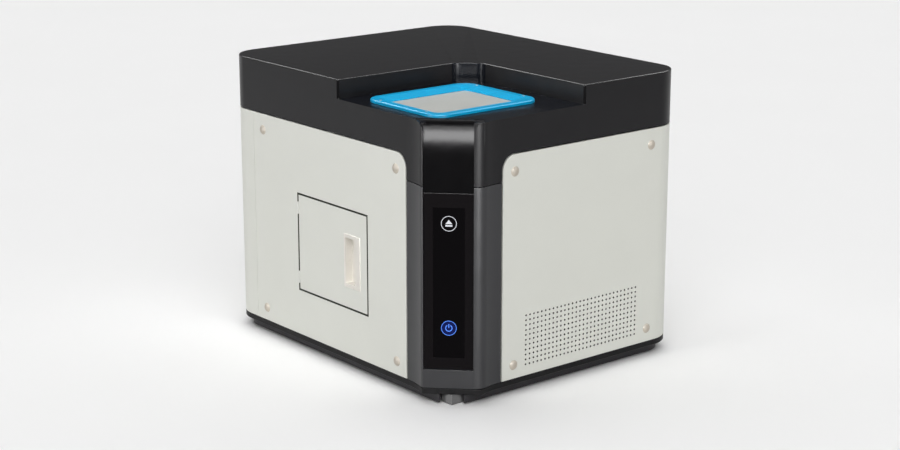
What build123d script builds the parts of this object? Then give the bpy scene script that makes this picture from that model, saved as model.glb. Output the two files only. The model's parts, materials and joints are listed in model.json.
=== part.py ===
"""Benchtop flow cytometer with a plate-loading deck, an assembly of separate pieces.

Units are millimetres. The origin is on the bench under the middle of the body,
+Z is up, -Y is the front face with the air intake, -X is the side with the bottle door.
"""
from build123d import *
import math
import os

os.makedirs("parts", exist_ok=True)

# ---------------------------------------------------------------- body and shells
body_width = 458.0            # between the left and the right panel faces
body_depth = 554.0            # between the front and the rear faces
corner_radius = 48.0          # three upright corners of the body
wall = 3.0                    # moulded shells and panels
foot_height = 15.5            # bench to the underside of the base tray
tray_height = 8.5
tray_joint = 1.0              # shadow gap between the tray and the shells
panel_height = 335.0
cover_joint = 2.5             # gap between the panels and the cover
cover_height = 81.2           # cover skirt to its top
cover_edge = 1.8              # small rounding of the cover's top edge
panel_joint = 2.5             # upright gap between a panel and the corner piece
panel_seam = 0.8              # fine seam between two panels
panel_corner = 22.0           # rounded top corner of a panel beside the nose
rear_shell_reach = 70.0       # how far the rear shell runs along the sides
side_wrap = 118.0             # how far the front panel runs along the right side

# ---------------------------------------------------------------- corner nose
nose_reach = 95.75            # width of the corner piece along each face
nose_flare = 6.2              # how far its lips stand out of the faces
nose_tip = 54.6               # how far a lip's edge is from the body corner
lip_edge = 1.2
channel_width = 73.0
channel_offset = -4.5         # channel centre from the corner's diagonal
channel_depth = 4.0
roll_run = 24.0               # depth of the rolled edge between deck and channel
roll_drop = 50.0              # height of the rolled edge
lip_round = 14.0              # rounded shoulder of a lip at deck level
nose_bottom = 323.0           # seam between cover nose and column
nose_joint = 1.4              # gap of that seam
glass_top = 312.6
glass_bottom = 53.3
glass_thickness = 3.0
glass_joint = 0.8             # gap between glass and cover
display_width = 50.0
display_height = 226.0
display_thickness = 9.0

# ---------------------------------------------------------------- loading deck
recess_depth = 29.4           # cover top to the deck
recess_margin_x = 34.4        # deck beside the blue frame
recess_margin_y = 33.0
recess_cut = 27.5             # slanted inner corner of the recess
recess_round = 12.0
recess_bevel = 3.0
deck_skin = 1.5               # deck thickness over the shutter
opening_x, opening_width = 44.0, 150.0  # from the left face
opening_y, opening_depth = 85.0, 114.0  # from the front face
funnel_side = 22.0            # blue frame beyond the opening on the left
funnel_inner = 24.0
funnel_front = 31.0
funnel_rear = 26.0
frame_rise = 4.8
frame_radius = 25.0
frame_rim = 12.0              # flat top of the rim before the funnel starts
opening_radius = 9.0
skirt_wall = 2.0
fit_gap = 0.3                 # general gap between pieces of one body
run_gap = 0.4                 # gap between sliding bodies
frame_screw_radius = 2.0
frame_screw_inset = 7.0

# ---------------------------------------------------------------- shutter
shutter_overlap = 6.0
shutter_thickness = 2.5
rail_web = 5.6
rail_lip = 5.0
rail_lip_thickness = 2.5
roller_radius = 8.0
roller_width = 10.0
shaft_radius = 2.0
shaft_gap = 0.05              # radial running clearance of a shaft
motor_radius = 9.0
motor_length = 30.0

# ---------------------------------------------------------------- side door
door_y, door_width = 190.3, 176.1       # centre line of the door gap, from the front
door_z, door_height = 97.9, 152.9
door_gap = 3.0
door_rim = 8.0                # depth of the folded rim behind the door skin
door_rim_wall = 2.0
hinge_radius = 1.25
hinge_pin_radius = 0.6
hinge_length = 18.9
hinge_leaf = 0.8
hinge_leaf_reach = 10.0
hinge_heights = (117.7, 228.3)
knuckle_gap = 0.25
pull_y, pull_width = 207.5, 40.0
pull_z, pull_height = 130.5, 83.0
pull_proud = 1.2
pull_wall = 1.6
pull_depth = 13.0
pull_grip = 12.5              # width of the lip that the fingers hook
cup_top_margin = 6.0
bay_depth = 125.0
bay_wall = 2.0

# ---------------------------------------------------------------- panel fasteners
fastener_radius = 7.5
fastener_dome = 3.6
fastener_shank = 3.0
fastener_length = 12.0
fastener_low = 45.8
fastener_high = 335.0
front_fastener_start = 120.1   # first column of screws, from the left face
front_fastener_inset = 66.3    # last column, from the right face
side_fastener_start = 121.0
side_fastener_inset = 26.0     # last column, from the rear shell's seam

# ---------------------------------------------------------------- air intake
vent_x, vent_columns = 143.9, 30
vent_side_gap = 92.25         # last column of holes to the right face
vent_z, vent_rows, vent_pitch_z = 41.9, 11, 7.5
vent_hole = 2.7               # across flats
filter_thickness = 6.0
filter_margin = 8.0

# ---------------------------------------------------------------- base
rail_inset = 11.5
rail_thickness = 3.0
rail_bottom = 2.5
rail_corner_gap = 38.0
foot_size = 22.0
foot_inset = 22.0             # front and left feet, from the faces
foot_side_gap = 91.0          # right feet's left edge to the right face
foot_rear_gap = 97.0
tray_floor = 3.0
tray_lip = 4.0

# ---------------------------------------------------------------- chassis
upright_width = 20.0
upright_depth = 11.5
upright_inset = 1.0           # behind the panel, against the tray's lip
upright_wall = 2.0
ring_height = 12.0
ring_width = 14.0
ring_top = 358.0
ring_corner_cut = 104.0
boss_radius = 6.0

# ---------------------------------------------------------------- plate stage
table_top = 292.0
table_thickness = 6.0
table_x = 254.0               # right edge, from the left face
table_y = 386.0               # rear edge, from the front face
table_corner_cut = 114.0
post_radius = 8.0
guide_width = 9.0
guide_height = 8.0
guide_span = 150.0            # between the two Y guides
guide_start = 40.0            # front end of the Y guides, from the front face
cross_span = 60.0             # between the two X guides
carriage_x = (20.0, 292.0)    # Y carriage, from the left face
carriage_depth = 80.0
carriage_thickness = 6.0
stage_lift = 14.0             # room for guides and screw under a moving plate
bearing_size = 22.0
bearing_spread = 42.0         # between the bearings on one guide
screw_radius = 3.0
screw_support = 8.0
stage_motor_radius = 6.5
stage_motor_length = 26.0
nest_width = 140.0
nest_depth = 98.0
plate_width = 127.76          # standard microplate footprint
plate_depth = 85.48
plate_gap = 0.35
nest_floor = 376.0
nest_rim = 4.0
nest_thickness = 4.0
nest_post_radius = 5.0
nest_reach_left = 24.0        # travel of the nest from the loading place
nest_reach_right = 74.0
nest_run_out = 4.0            # guide left beyond the last bearing
motor_room = 14.0

# ---------------------------------------------------------------- sample probe
probe_x, probe_y = 144.0, 282.0
needle_radius = 0.8
needle_tip = 396.0
arm_bottom = 414.0
arm_height = 10.0
arm_width = 16.0
probe_stroke = 14.0
probe_column_y = 368.0        # its front face, from the front of the body
probe_column_width = 40.0
probe_column_depth = 14.0
probe_column_top = 434.0
probe_slide_height = 24.0
probe_slide_depth = 14.0

# ---------------------------------------------------------------- optics
bench_start = 266.0           # left edge, from the left face
bench_side_gap = 24.0         # right edge to the right face
bench_front = 190.0           # front edge, from the front face
bench_rear_gap = 54.0
bench_bottom = 60.0
bench_thickness = 12.0
isolator_radius = 13.0
isolator_inset = 20.0
beam_height = 40.0            # above the bench
beam_share = 1 / 7            # beam line across the bench
laser_shares = (0.452, 0.629, 0.806)    # laser places along the bench
laser_gap_share = 0.238       # of the bench's width, as the next four
laser_share = 0.565
objective_share = 0.155
cube_share = 0.19
camera_share = 0.274
cell_share = 0.161            # flow cell along the bench
laser_width = 40.0
laser_height = 50.0
fin_count = 6
fin_height = 8.0
mirror_size = 18.0
mirror_thickness = 3.0
mirror_post_radius = 5.0
cell_size = 6.0
cell_height = 34.0
cell_block = 30.0
objective_radius = 13.0
objective_gap = 2.0
camera_size = 40.0

# ---------------------------------------------------------------- fluidics
bottle_radius = 36.0
bottle_height = 118.0
bottle_neck = 14.0
bottle_wall = 1.6
cap_radius = 17.0
cap_height = 16.0
bottle_places_y = (237.0, 319.0)
bottle_x = 66.0
pump_x, pump_y = 180.0, 62.0  # syringe pump's corner, from the left and front faces
pump_width, pump_depth, pump_height = 50.0, 44.0, 165.0
pump_wall = 6.0
barrel_radius = 6.0
barrel_bore = 5.2
barrel_length = 66.0
barrel_bottom = 98.0          # above the pump's foot
barrel_ahead = 16.0           # barrel axis in front of the pump's body
piston_gap = 0.05
piston_length = 6.0
plunger_stroke = 44.0
plunger_block_height = 14.0
plunger_rest = 18.0           # block above the pump's foot
valve_head = 20.0
manifold_height = 30.0
manifold_depth = 20.0
manifold_z = 150.0
valve_radius = 8.0
valve_height = 30.0
valve_count = 4
valve_pitch = 20.0

# ---------------------------------------------------------------- electrics and rear ports
board_thickness = 1.6
board_spacer = 3.0
board_z = (120.0, 300.0)
supply_depth, supply_height = 92.0, 56.0
supply_x, supply_y = 258.0, 22.0
supply_side_gap = 70.0        # to the right face
fan_size = 92.0
fan_depth = 25.0
fan_x, fan_z = 289.0, 230.0
fan_hub = 19.0
fan_blades = 7
guard_slot = 5.0
port_z = 62.0
inlet_x = 179.0
inlet_width, inlet_height, inlet_depth = 28.0, 20.0, 26.0
switch_x = 229.0
switch_width, switch_height = 16.0, 24.0
rocker_tilt = 8.0             # degrees each way
rocker_pivot = 3.0            # pivot behind the shell's face
rocker_proud = 2.2
rocker_trunnion = 1.5
switch_wall = 1.5
data_x = 285.0
fluid_x = 78.0
coupling_radius = 5.0
coupling_reach = 6.0
flange_margin = 4.0
flange_thickness = 1.5

# ---------------------------------------------------------------- places worked out from the sizes
left, right = -body_width / 2, body_width / 2
front, rear = -body_depth / 2, body_depth / 2
tray_top = foot_height + tray_height
panel_bottom = tray_top + tray_joint
panel_top = panel_bottom + panel_height
cover_bottom = panel_top + cover_joint
cover_top = cover_bottom + cover_height
deck = cover_top - recess_depth
panel_start = nose_reach + panel_joint
flat_distance = (nose_tip - nose_flare) / math.sqrt(2)
channel_face = flat_distance + channel_depth
shutter_top = deck - deck_skin - run_gap
shutter_bottom = shutter_top - shutter_thickness
table_floor = table_top - table_thickness
carriage_bottom = table_top + stage_lift
carriage_top = carriage_bottom + carriage_thickness
cross_bottom = carriage_top + stage_lift
stage_x = left + opening_x + opening_width / 2
stage_y = front + opening_y + opening_depth / 2
bench_top = bench_bottom + bench_thickness
beam_z = bench_top + beam_height
tray_inside = foot_height + tray_floor
foot_places_x = (foot_inset, body_width - foot_side_gap)
foot_places_y = (foot_inset, body_depth - foot_rear_gap)
rear_seam = body_depth - rear_shell_reach
front_fastener_x = (front_fastener_start, body_width - front_fastener_inset)
side_fastener_y = (side_fastener_start, rear_seam - side_fastener_inset)
vent_pitch_x = (body_width - vent_x - vent_side_gap) / (vent_columns - 1)
frame_x, frame_width = opening_x - funnel_side, opening_width + funnel_side + funnel_inner
frame_y, frame_depth = opening_y - funnel_front, opening_depth + funnel_front + funnel_rear
recess_x = frame_x + frame_width + recess_margin_x
recess_y = frame_y + frame_depth + recess_margin_y
bench_x = (bench_start, body_width - bench_side_gap)
bench_y = (bench_front, body_depth - bench_rear_gap)
bench_width, bench_length = bench_x[1] - bench_x[0], bench_y[1] - bench_y[0]
beam_x = left + bench_start + beam_share * bench_width
laser_places_y = [bench_front + share * bench_length for share in laser_shares]
laser_gap = laser_gap_share * bench_width
laser_length = laser_share * bench_width
objective_length = objective_share * bench_width
cube_size = cube_share * bench_width
camera_length = camera_share * bench_width
cell_y = bench_front + cell_share * bench_length
probe_guide_bottom = arm_bottom + arm_height - probe_slide_height - probe_stroke - 2.0
pump_slot_top = plunger_rest + plunger_block_height + plunger_stroke + motor_room
far = 2000.0                  # reach of cutting shapes beyond the body

DIAGONAL_FACE = Plane(origin=(left, front, 0), x_dir=(1, -1, 0), z_dir=(-1, -1, 0))
DIAGONAL_SIDE = Plane(origin=(left, front, 0), x_dir=(1, 1, 0), z_dir=(1, -1, 0))


# ---------------------------------------------------------------- helpers
def block(x, y, z):
    """Box between two limits on each axis."""
    size = [span[1] - span[0] for span in (x, y, z)]
    middle = [(span[0] + span[1]) / 2 for span in (x, y, z)]
    return Pos(*middle) * Box(*size)


def about(middle, size):
    """The two limits of a span by its middle and its size."""
    return (middle - size / 2, middle + size / 2)


def rod(start, radius, length, axis="Z"):
    """Cylinder that starts at a point and runs along an axis."""
    turn = {"X": Rot(0, 90, 0), "Y": Rot(-90, 0, 0), "Z": Rot(0, 0, 0)}[axis]
    bottom = (Align.CENTER, Align.CENTER, Align.MIN)
    return Pos(*start) * turn * Cylinder(radius, length, align=bottom)


def prism(face, bottom, top):
    """A plan face raised between two heights."""
    return extrude(Pos(0, 0, bottom) * face, amount=top - bottom)


def rounded(x, y, radius):
    """Rounded rectangle in plan between two limits on each axis."""
    size = (x[1] - x[0], y[1] - y[0])
    return Pos(sum(x) / 2, sum(y) / 2) * RectangleRounded(*size, radius)


def group(*shapes):
    """Separate solids that share one node."""
    solids = []
    for shape in shapes:
        solids.extend(shape.solids())
    return Compound(children=solids)


def footprint(inset=0.0):
    """Plan of the body: three rounded corners, and the flared nose at the front left."""
    left_start = (left, front + nose_reach)
    left_tip = (left - nose_flare, front + nose_tip)
    right_start = (left + nose_reach, front)
    right_tip = (left + nose_tip, front - nose_flare)
    lines = [
        Line(right_start, (right, front)),
        Line((right, front), (right, rear)),
        Line((right, rear), (left, rear)),
        Line((left, rear), left_start),
        TangentArc(left_start, left_tip, tangent=(0, -1)),
        Line(left_tip, right_tip),
        TangentArc(right_start, right_tip, tangent=(-1, 0)),
    ]
    face = make_face(lines)
    corners = [v for v in face.vertices() if is_body_corner(v)]
    face = fillet(corners, corner_radius)
    tips = [v for v in face.vertices() if is_nose_tip(v)]
    face = fillet(tips, lip_edge)
    return offset(face, -inset, kind=Kind.INTERSECTION) if inset else face


def is_body_corner(vertex):
    """True at the three square corners of the plan."""
    at_side = abs(abs(vertex.X) - right) < 0.01
    at_end = abs(abs(vertex.Y) - rear) < 0.01
    return at_side and at_end


def is_nose_tip(vertex):
    """True at the two outer edges of the nose's lips."""
    return vertex.X < left - nose_flare + 0.01 or vertex.Y < front - nose_flare + 0.01


def channel_tool(grow=0.0, foot=0.0):
    """Space in front of the channel, with its rolled edge; grow moves its walls inward."""
    low, high = foot, deck + 1.0
    half = channel_width / 2 + grow
    middle = channel_offset
    shoulder = lip_round - grow
    bend = deck - lip_round
    spread = channel_width / 2 + lip_round
    left_wall, right_wall = middle - half, middle + half
    outline = make_face([
        Line((left_wall, low), (right_wall, low)),
        Line((right_wall, low), (right_wall, bend)),
        CenterArc((middle + spread, bend), shoulder, 180.0, -90.0),
        Line((middle + spread, bend + shoulder), (middle + spread, high)),
        Line((middle + spread, high), (middle - spread, high)),
        Line((middle - spread, high), (middle - spread, bend + shoulder)),
        CenterArc((middle - spread, bend), shoulder, 90.0, -90.0),
        Line((left_wall, bend), (left_wall, low)),
    ])
    across = extrude(DIAGONAL_FACE * outline, amount=far, both=True)
    face_depth = channel_face + grow
    roll_end = channel_face + roll_run
    roll_start = deck - roll_drop
    arc = EllipticalCenterArc(
        (roll_end, roll_start), roll_run - grow, roll_drop - grow, 90.0, arc_size=90.0
    )
    outside = -nose_tip
    side = make_face([
        Line((face_depth, roll_start), (face_depth, low)),
        Line((face_depth, low), (outside, low)),
        Line((outside, low), (outside, high)),
        Line((outside, high), (roll_end, high)),
        Line((roll_end, high), (roll_end, deck - grow)),
        arc,
    ])
    along = extrude(DIAGONAL_SIDE * side, amount=far, both=True)
    return across & along


def recess_tool(grow=0.0):
    """Space over the loading deck; grow moves its walls outward."""
    inner_x, inner_y = left + recess_x, front + recess_y
    edge = recess_bevel
    out_x, out_y = left - 4 * nose_flare, front - 4 * nose_flare
    points = [
        (out_x, out_y),
        (inner_x + edge, out_y),
        (inner_x + edge, front),
        (inner_x, front + edge),
        (inner_x, inner_y - recess_cut),
        (inner_x - recess_cut, inner_y),
        (left + edge, inner_y),
        (left, inner_y + edge),
        (out_x, inner_y + edge),
    ]
    face = make_face(Polyline(*points, close=True))
    bends = [
        v for v in face.vertices()
        if abs(v.X + v.Y - (inner_x + inner_y - recess_cut)) < 0.01
    ]
    face = fillet(bends, recess_round)
    if grow:
        face = offset(face, grow, kind=Kind.INTERSECTION)
    return prism(face, deck - grow, cover_top + 1.0)


def nose_zone(reach, bottom, top):
    """Corner region within a reach of both faces."""
    return block((left - far, left + reach), (front - far, front + reach), (bottom, top))


def beside_nose(start, top, radius):
    """Everything below a height and beyond the nose, with the rounded corner beside it."""
    def slab():
        size_y, size_z = far, far
        return RectangleRounded(size_y, size_z, radius)

    middle_y = front + start + far / 2
    middle_x = left + start + far / 2
    middle_z = top - far / 2
    on_side = extrude(Plane.YZ * Pos(middle_y, middle_z) * slab(), amount=far, both=True)
    on_front = extrude(Plane.XZ * Pos(middle_x, middle_z) * slab(), amount=far, both=True)
    return on_side, on_front


# ---------------------------------------------------------------- covers
def cover_form(inset):
    """Outer or inner form of the cover, without its lower cuts."""
    low = glass_top + glass_joint - (1.0 if inset else 0.0)
    form = prism(footprint(inset), low, cover_top - inset)
    return form - recess_tool(inset) - channel_tool(inset, foot=low - 1.0)


def top_cover():
    """Moulded cover with the deck recess, the nose and the rolled channel."""
    outer = cover_form(0.0)
    rim = [
        e for e in outer.edges()
        if abs(e.bounding_box().min.Z - cover_top) < 0.01
        and abs(e.bounding_box().max.Z - cover_top) < 0.01
    ]
    outer = fillet(rim, cover_edge)
    shell = outer - cover_form(wall)
    on_side, on_front = beside_nose(nose_reach, cover_bottom, panel_corner + cover_joint)
    shell = shell - on_side - on_front
    tongue = extrude(
        DIAGONAL_FACE * Pos(channel_offset, 0) * Rectangle(channel_width - 2 * fit_gap, far),
        amount=far, both=True,
    )
    tongue_depth = extrude(
        DIAGONAL_SIDE * Pos(channel_face + wall / 2, 0) * Rectangle(wall + 1.0, far),
        amount=far, both=True,
    )
    below = nose_zone(nose_reach + 1.0, 0.0, nose_bottom) - (tongue & tongue_depth)
    shell = shell - below
    opening = rounded(
        about(stage_x, opening_width + 2 * (skirt_wall + fit_gap)),
        about(stage_y, opening_depth + 2 * (skirt_wall + fit_gap)),
        opening_radius + skirt_wall,
    )
    shell = shell - prism(opening, deck - 2 * wall, deck + 1.0)
    path = block(
        (left + opening_x - shutter_overlap - 8.0, left + recess_x + 2 * wall),
        about(stage_y, opening_depth + 2 * (shutter_overlap + run_gap)),
        (deck - 2 * wall, deck - deck_skin),
    )
    shell = shell - path
    bosses = []
    ring_middle = wall + upright_inset + ring_width / 2
    for x in (left + ring_middle, right - ring_middle):
        for y in (front + recess_y + 50.0, rear - 3 * corner_radius):
            bosses.append(rod((x, y, ring_top), boss_radius, cover_top - wall - ring_top))
    bosses.append(rod(
        (right - ring_middle, front + 2 * corner_radius, ring_top),
        boss_radius, cover_top - wall - ring_top,
    ))
    for boss in bosses:
        shell = shell + boss
    return shell


def corner_column():
    """Lower half of the nose: two flared lips and the pocket of the touch glass."""
    top = nose_bottom - nose_joint

    def form(inset):
        body = prism(footprint(inset), panel_bottom - (1.0 if inset else 0.0),
                     top + (1.0 if inset else 0.0))
        pocket = extrude(
            DIAGONAL_FACE * Pos(channel_offset, 0)
            * Rectangle(channel_width + 2 * inset, 4 * cover_top),
            amount=far, both=True,
        )
        depth = channel_face + glass_thickness + inset
        front_of = extrude(
            DIAGONAL_SIDE * Pos(depth - far / 2, 0) * Rectangle(far, 4 * cover_top),
            amount=far, both=True,
        )
        lowest = glass_bottom - glass_joint - inset
        above = block((-far, far), (-far, far), (lowest, far))
        return body - (pocket & front_of & above)

    shell = form(0.0) - form(wall)
    shell = shell & nose_zone(nose_reach, 0.0, far)
    window = extrude(
        DIAGONAL_FACE * Pos(channel_offset, (glass_top + glass_bottom) / 2)
        * Rectangle(display_width + 2 * fit_gap, display_height + 2 * fit_gap),
        amount=far, both=True,
    )
    return shell - window


def touch_glass():
    """Tall glass of the touch display, seated in the column's pocket."""
    width = channel_width - 2 * fit_gap
    outline = Rectangle(width, glass_top - glass_bottom)
    face = DIAGONAL_FACE * Pos(channel_offset, (glass_top + glass_bottom) / 2) * outline
    depth = channel_face + glass_thickness
    slab = Pos(depth / math.sqrt(2), depth / math.sqrt(2), 0) * extrude(face, glass_thickness)
    edges = slab.faces().sort_by(Axis((0, 0, 0), (1, 1, 0)))[0].edges()
    return chamfer(edges, 0.5)


def display_module():
    """Display panel and its board behind the glass."""
    depth = channel_face + glass_thickness

    def slab(width, height, start, thickness):
        face = DIAGONAL_FACE * Pos(channel_offset, (glass_top + glass_bottom) / 2)
        shape = extrude(face * Rectangle(width, height), -thickness)
        return Pos(start / math.sqrt(2), start / math.sqrt(2), 0) * shape

    panel = slab(display_width, display_height, depth, display_thickness)
    board_start = depth + display_thickness
    board = slab(display_width - 8.0, display_height - 12.0, board_start, board_thickness)
    return panel + board


# ---------------------------------------------------------------- side panels
def panel_ring():
    """The upright skin all round the body, panel height."""
    outer = prism(footprint(), panel_bottom, panel_top)
    return outer - prism(footprint(wall), panel_bottom - 1.0, panel_top + 1.0)


def fastener_holes(side):
    """Shank holes of one side's panel fasteners."""
    radius = fastener_shank + fit_gap
    holes = []
    for x, y, z, axis, _ in fastener_places(side):
        start = (x, y - 2 * wall, z) if axis == "Y" else (x - 2 * wall, y, z)
        holes.append(rod(start, radius, 4 * wall, axis))
    return holes


def fastener_places(side):
    """Place, axis and outward sign of the fasteners of one side."""
    places = []
    for z in (fastener_low, fastener_high):
        if side in ("front", "rear"):
            y, sign = (front, -1) if side == "front" else (rear, 1)
            for x in front_fastener_x:
                places.append((left + x, y, z, "Y", sign))
        else:
            x, sign = (left, -1) if side == "left" else (right, 1)
            for y in side_fastener_y:
                places.append((x, front + y, z, "X", sign))
    return places


def without(shape, tools):
    """Shape with every tool cut away."""
    for tool in tools:
        shape = shape - tool
    return shape


def left_panel():
    """Left panel with the door opening."""
    zone = block((left - wall, left + wall),
                 (front + panel_start, front + rear_seam - panel_seam / 2), (0, far))
    on_side, _ = beside_nose(panel_start, panel_top, panel_corner)
    panel = panel_ring() & zone & on_side
    opening = block(
        (left - wall, left + 2 * wall),
        (front + door_y - door_gap / 2, front + door_y + door_width + door_gap / 2),
        (door_z - door_gap / 2, door_z + door_height + door_gap / 2),
    )
    return without(panel, [opening] + fastener_holes("left"))


def vent_middle():
    """Middle of the air intake on the front face."""
    return (left + vent_x + (vent_columns - 1) * vent_pitch_x / 2,
            vent_z + (vent_rows - 1) * vent_pitch_z / 2)


def vent_field(holes):
    """Stretch of the front wall with the air intake, whole or with its holes."""
    width, height = vent_columns * vent_pitch_x, vent_rows * vent_pitch_z
    outline = Rectangle(width, height).wire()
    hole = Rot(0, 0, 45) * Rectangle(vent_hole, vent_hole)
    grid = GridLocations(vent_pitch_x, vent_pitch_z, vent_columns, vent_rows)
    inner = [(place * hole).wire() for place in grid] if holes else []
    face = Plane.XZ.offset(-front) * Pos(*vent_middle()) * Face(outline, inner)
    return extrude(face, amount=-wall)


def front_panel():
    """Front panel that wraps the front-right corner, with the air intake."""
    ring = panel_ring()
    _, on_front = beside_nose(panel_start, panel_top, panel_corner)
    zone = block((left + panel_start, far),
                 (front - wall, front + side_wrap - panel_seam / 2), (0, far))
    panel = without(ring & zone & on_front, fastener_holes("front"))
    return panel - vent_field(holes=False) + vent_field(holes=True)


def right_panel():
    """Flat right panel between the front panel's wrap and the rear shell."""
    zone = block(
        (0, far),
        (front + side_wrap + panel_seam / 2, front + rear_seam - panel_seam / 2),
        (0, far),
    )
    return without(panel_ring() & zone, fastener_holes("right"))


def rear_shell():
    """Rear shell that wraps both rear corners, with the fan grille and the ports."""
    zone = block((-far, far), (front + rear_seam + panel_seam / 2, far), (0, far))
    shell = without(panel_ring() & zone, fastener_holes("rear"))
    for slot in guard_slots():
        shell = shell - slot
    for x, width, height in port_cutouts():
        shell = shell - block(
            about(left + x, width), (rear - 2 * wall, rear + wall), about(port_z, height)
        )
    for place in coupling_places():
        shell = shell - rod((place, rear - 2 * wall, port_z), coupling_radius + fit_gap,
                            3 * wall, "Y")
    return shell


def guard_slots():
    """Upright slots of the exhaust grille, cut to the fan's circle."""
    slots = []
    pitch = 2 * guard_slot
    reach = fan_size / 2 - guard_slot
    count = int(reach // pitch)
    for step in range(-count, count + 1):
        offset_x = step * pitch
        half = math.sqrt(reach ** 2 - offset_x ** 2)
        if half > guard_slot:
            slots.append(block(
                about(left + fan_x + offset_x, guard_slot),
                (rear - 2 * wall, rear + wall),
                about(fan_z, 2 * half),
            ))
    return slots


def port_cutouts():
    """Place and size of the rectangular openings in the rear shell."""
    return [
        (inlet_x, inlet_width + 2 * fit_gap, inlet_height + 2 * fit_gap),
        (switch_x, switch_width + 2 * fit_gap, switch_height + 2 * fit_gap),
        (data_x, 2 * inlet_width + 2 * fit_gap, inlet_height + 2 * fit_gap),
    ]


def coupling_places():
    """Three fluid couplings in a row."""
    pitch = 3.2 * coupling_radius
    return [left + fluid_x + step * pitch for step in (-1, 0, 1)]


def panel_fasteners():
    """Domed screws that hold the panels to the uprights."""
    screws = []
    for side in ("front", "left", "right", "rear"):
        for x, y, z, axis, sign in fastener_places(side):
            ball = (fastener_radius ** 2 + fastener_dome ** 2) / (2 * fastener_dome)
            profile = make_face([
                Line((0, 0), (fastener_radius, 0)),
                RadiusArc((fastener_radius, 0), (0, fastener_dome), -ball),
                Line((0, fastener_dome), (0, 0)),
            ])
            head = revolve(Plane.XZ * profile, Axis.Z)
            shank = rod((0, 0, -fastener_length), fastener_shank, fastener_length)
            screw = head + shank
            turn = {("Y", -1): Rot(90, 0, 0), ("Y", 1): Rot(-90, 0, 0),
                    ("X", -1): Rot(0, -90, 0), ("X", 1): Rot(0, 90, 0)}[(axis, sign)]
            screws.append(Pos(x, y, z) * turn * screw)
    return group(*screws)


def vent_filter():
    """Dust filter mat behind the air holes."""
    middle_x, middle_z = vent_middle()
    return block(
        about(middle_x, vent_columns * vent_pitch_x + filter_margin),
        (front + wall, front + wall + filter_thickness),
        about(middle_z, vent_rows * vent_pitch_z + filter_margin),
    )


# ---------------------------------------------------------------- base and chassis
def base_tray():
    """Flat tray under the whole body."""
    tray = prism(footprint(), foot_height, tray_top)
    hollow = prism(footprint(tray_lip), foot_height + tray_floor, tray_top + 1.0)
    tray = tray - hollow
    rim = [
        e for e in tray.edges()
        if abs(e.bounding_box().max.Z - foot_height) < 0.01
    ]
    return chamfer(rim, 1.0)


def base_rails():
    """Skirt strip round the feet, open at the front-left corner."""
    def plan(inset):
        face = Rectangle(body_width - 2 * inset, body_depth - 2 * inset)
        corners = [v for v in face.vertices() if v.X > 0 or v.Y > 0]
        return fillet(corners, corner_radius - inset)

    strip = prism(plan(rail_inset), rail_bottom, foot_height)
    strip = strip - prism(plan(rail_inset + rail_thickness), 0.0, foot_height + 1.0)
    return strip - nose_zone(rail_corner_gap, 0.0, far)


def foot_pads():
    """Four square rubber feet."""
    feet = []
    for x in foot_places_x:
        for y in foot_places_y:
            foot = block(
                (left + x, left + x + foot_size),
                (front + y, front + y + foot_size),
                (0.0, foot_height),
            )
            feet.append(chamfer(foot.faces().sort_by(Axis.Z)[0].edges(), 1.0))
    return group(*feet)


def chassis_uprights():
    """Folded channel posts that the panels screw to."""
    posts = []
    bottom = foot_height + tray_floor
    top = ring_top - ring_height
    for side in ("front", "rear", "left", "right"):
        for x, y, z, axis, sign in fastener_places(side):
            if z == fastener_high:
                continue
            gap = wall + upright_inset
            inner = gap + upright_depth
            if axis == "Y":
                spans = about(x, upright_width), tuple(sorted((y - sign * gap, y - sign * inner)))
                core = about(x, upright_width - 2 * upright_wall)
                hollow = tuple(sorted((y - sign * (gap + upright_wall), y - sign * inner)))
                post = block(spans[0], spans[1], (bottom, top)) - block(
                    core, hollow, (bottom - 1.0, top + 1.0))
            else:
                spans = tuple(sorted((x - sign * gap, x - sign * inner))), about(y, upright_width)
                core = about(y, upright_width - 2 * upright_wall)
                hollow = tuple(sorted((x - sign * (gap + upright_wall), x - sign * inner)))
                post = block(spans[0], spans[1], (bottom, top)) - block(
                    hollow, core, (bottom - 1.0, top + 1.0))
            for hole_x, hole_y, hole_z, _, _ in fastener_places(side):
                same = abs(hole_x - x) < 0.01 and abs(hole_y - y) < 0.01
                if same:
                    start = (x, y - fastener_length - 1.0, hole_z) if axis == "Y" else (
                        x - fastener_length - 1.0, y, hole_z)
                    post = post - rod(start, fastener_shank + shaft_gap,
                                      2 * fastener_length + 2.0, axis)
            posts.append(post)
    return group(*posts)


def chassis_top_ring():
    """Flat frame on the uprights that carries the cover."""
    def plan(inset):
        cut = ring_corner_cut
        points = [
            (left + cut, front + inset),
            (right - inset, front + inset),
            (right - inset, rear - inset),
            (left + inset, rear - inset),
            (left + inset, front + cut),
        ]
        face = make_face(Polyline(*points, close=True))
        corners = [v for v in face.vertices() if v.X > 0 and v.Y < 0 and v.X > right - inset - 1]
        corners += [v for v in face.vertices() if v.Y > rear - inset - 1]
        return fillet(corners, max(corner_radius - inset, 2.0))

    inset = wall + upright_inset
    ring = prism(plan(inset), ring_top - ring_height, ring_top)
    return ring - prism(plan(inset + ring_width), ring_top - ring_height - 1.0, ring_top + 1.0)


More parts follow.
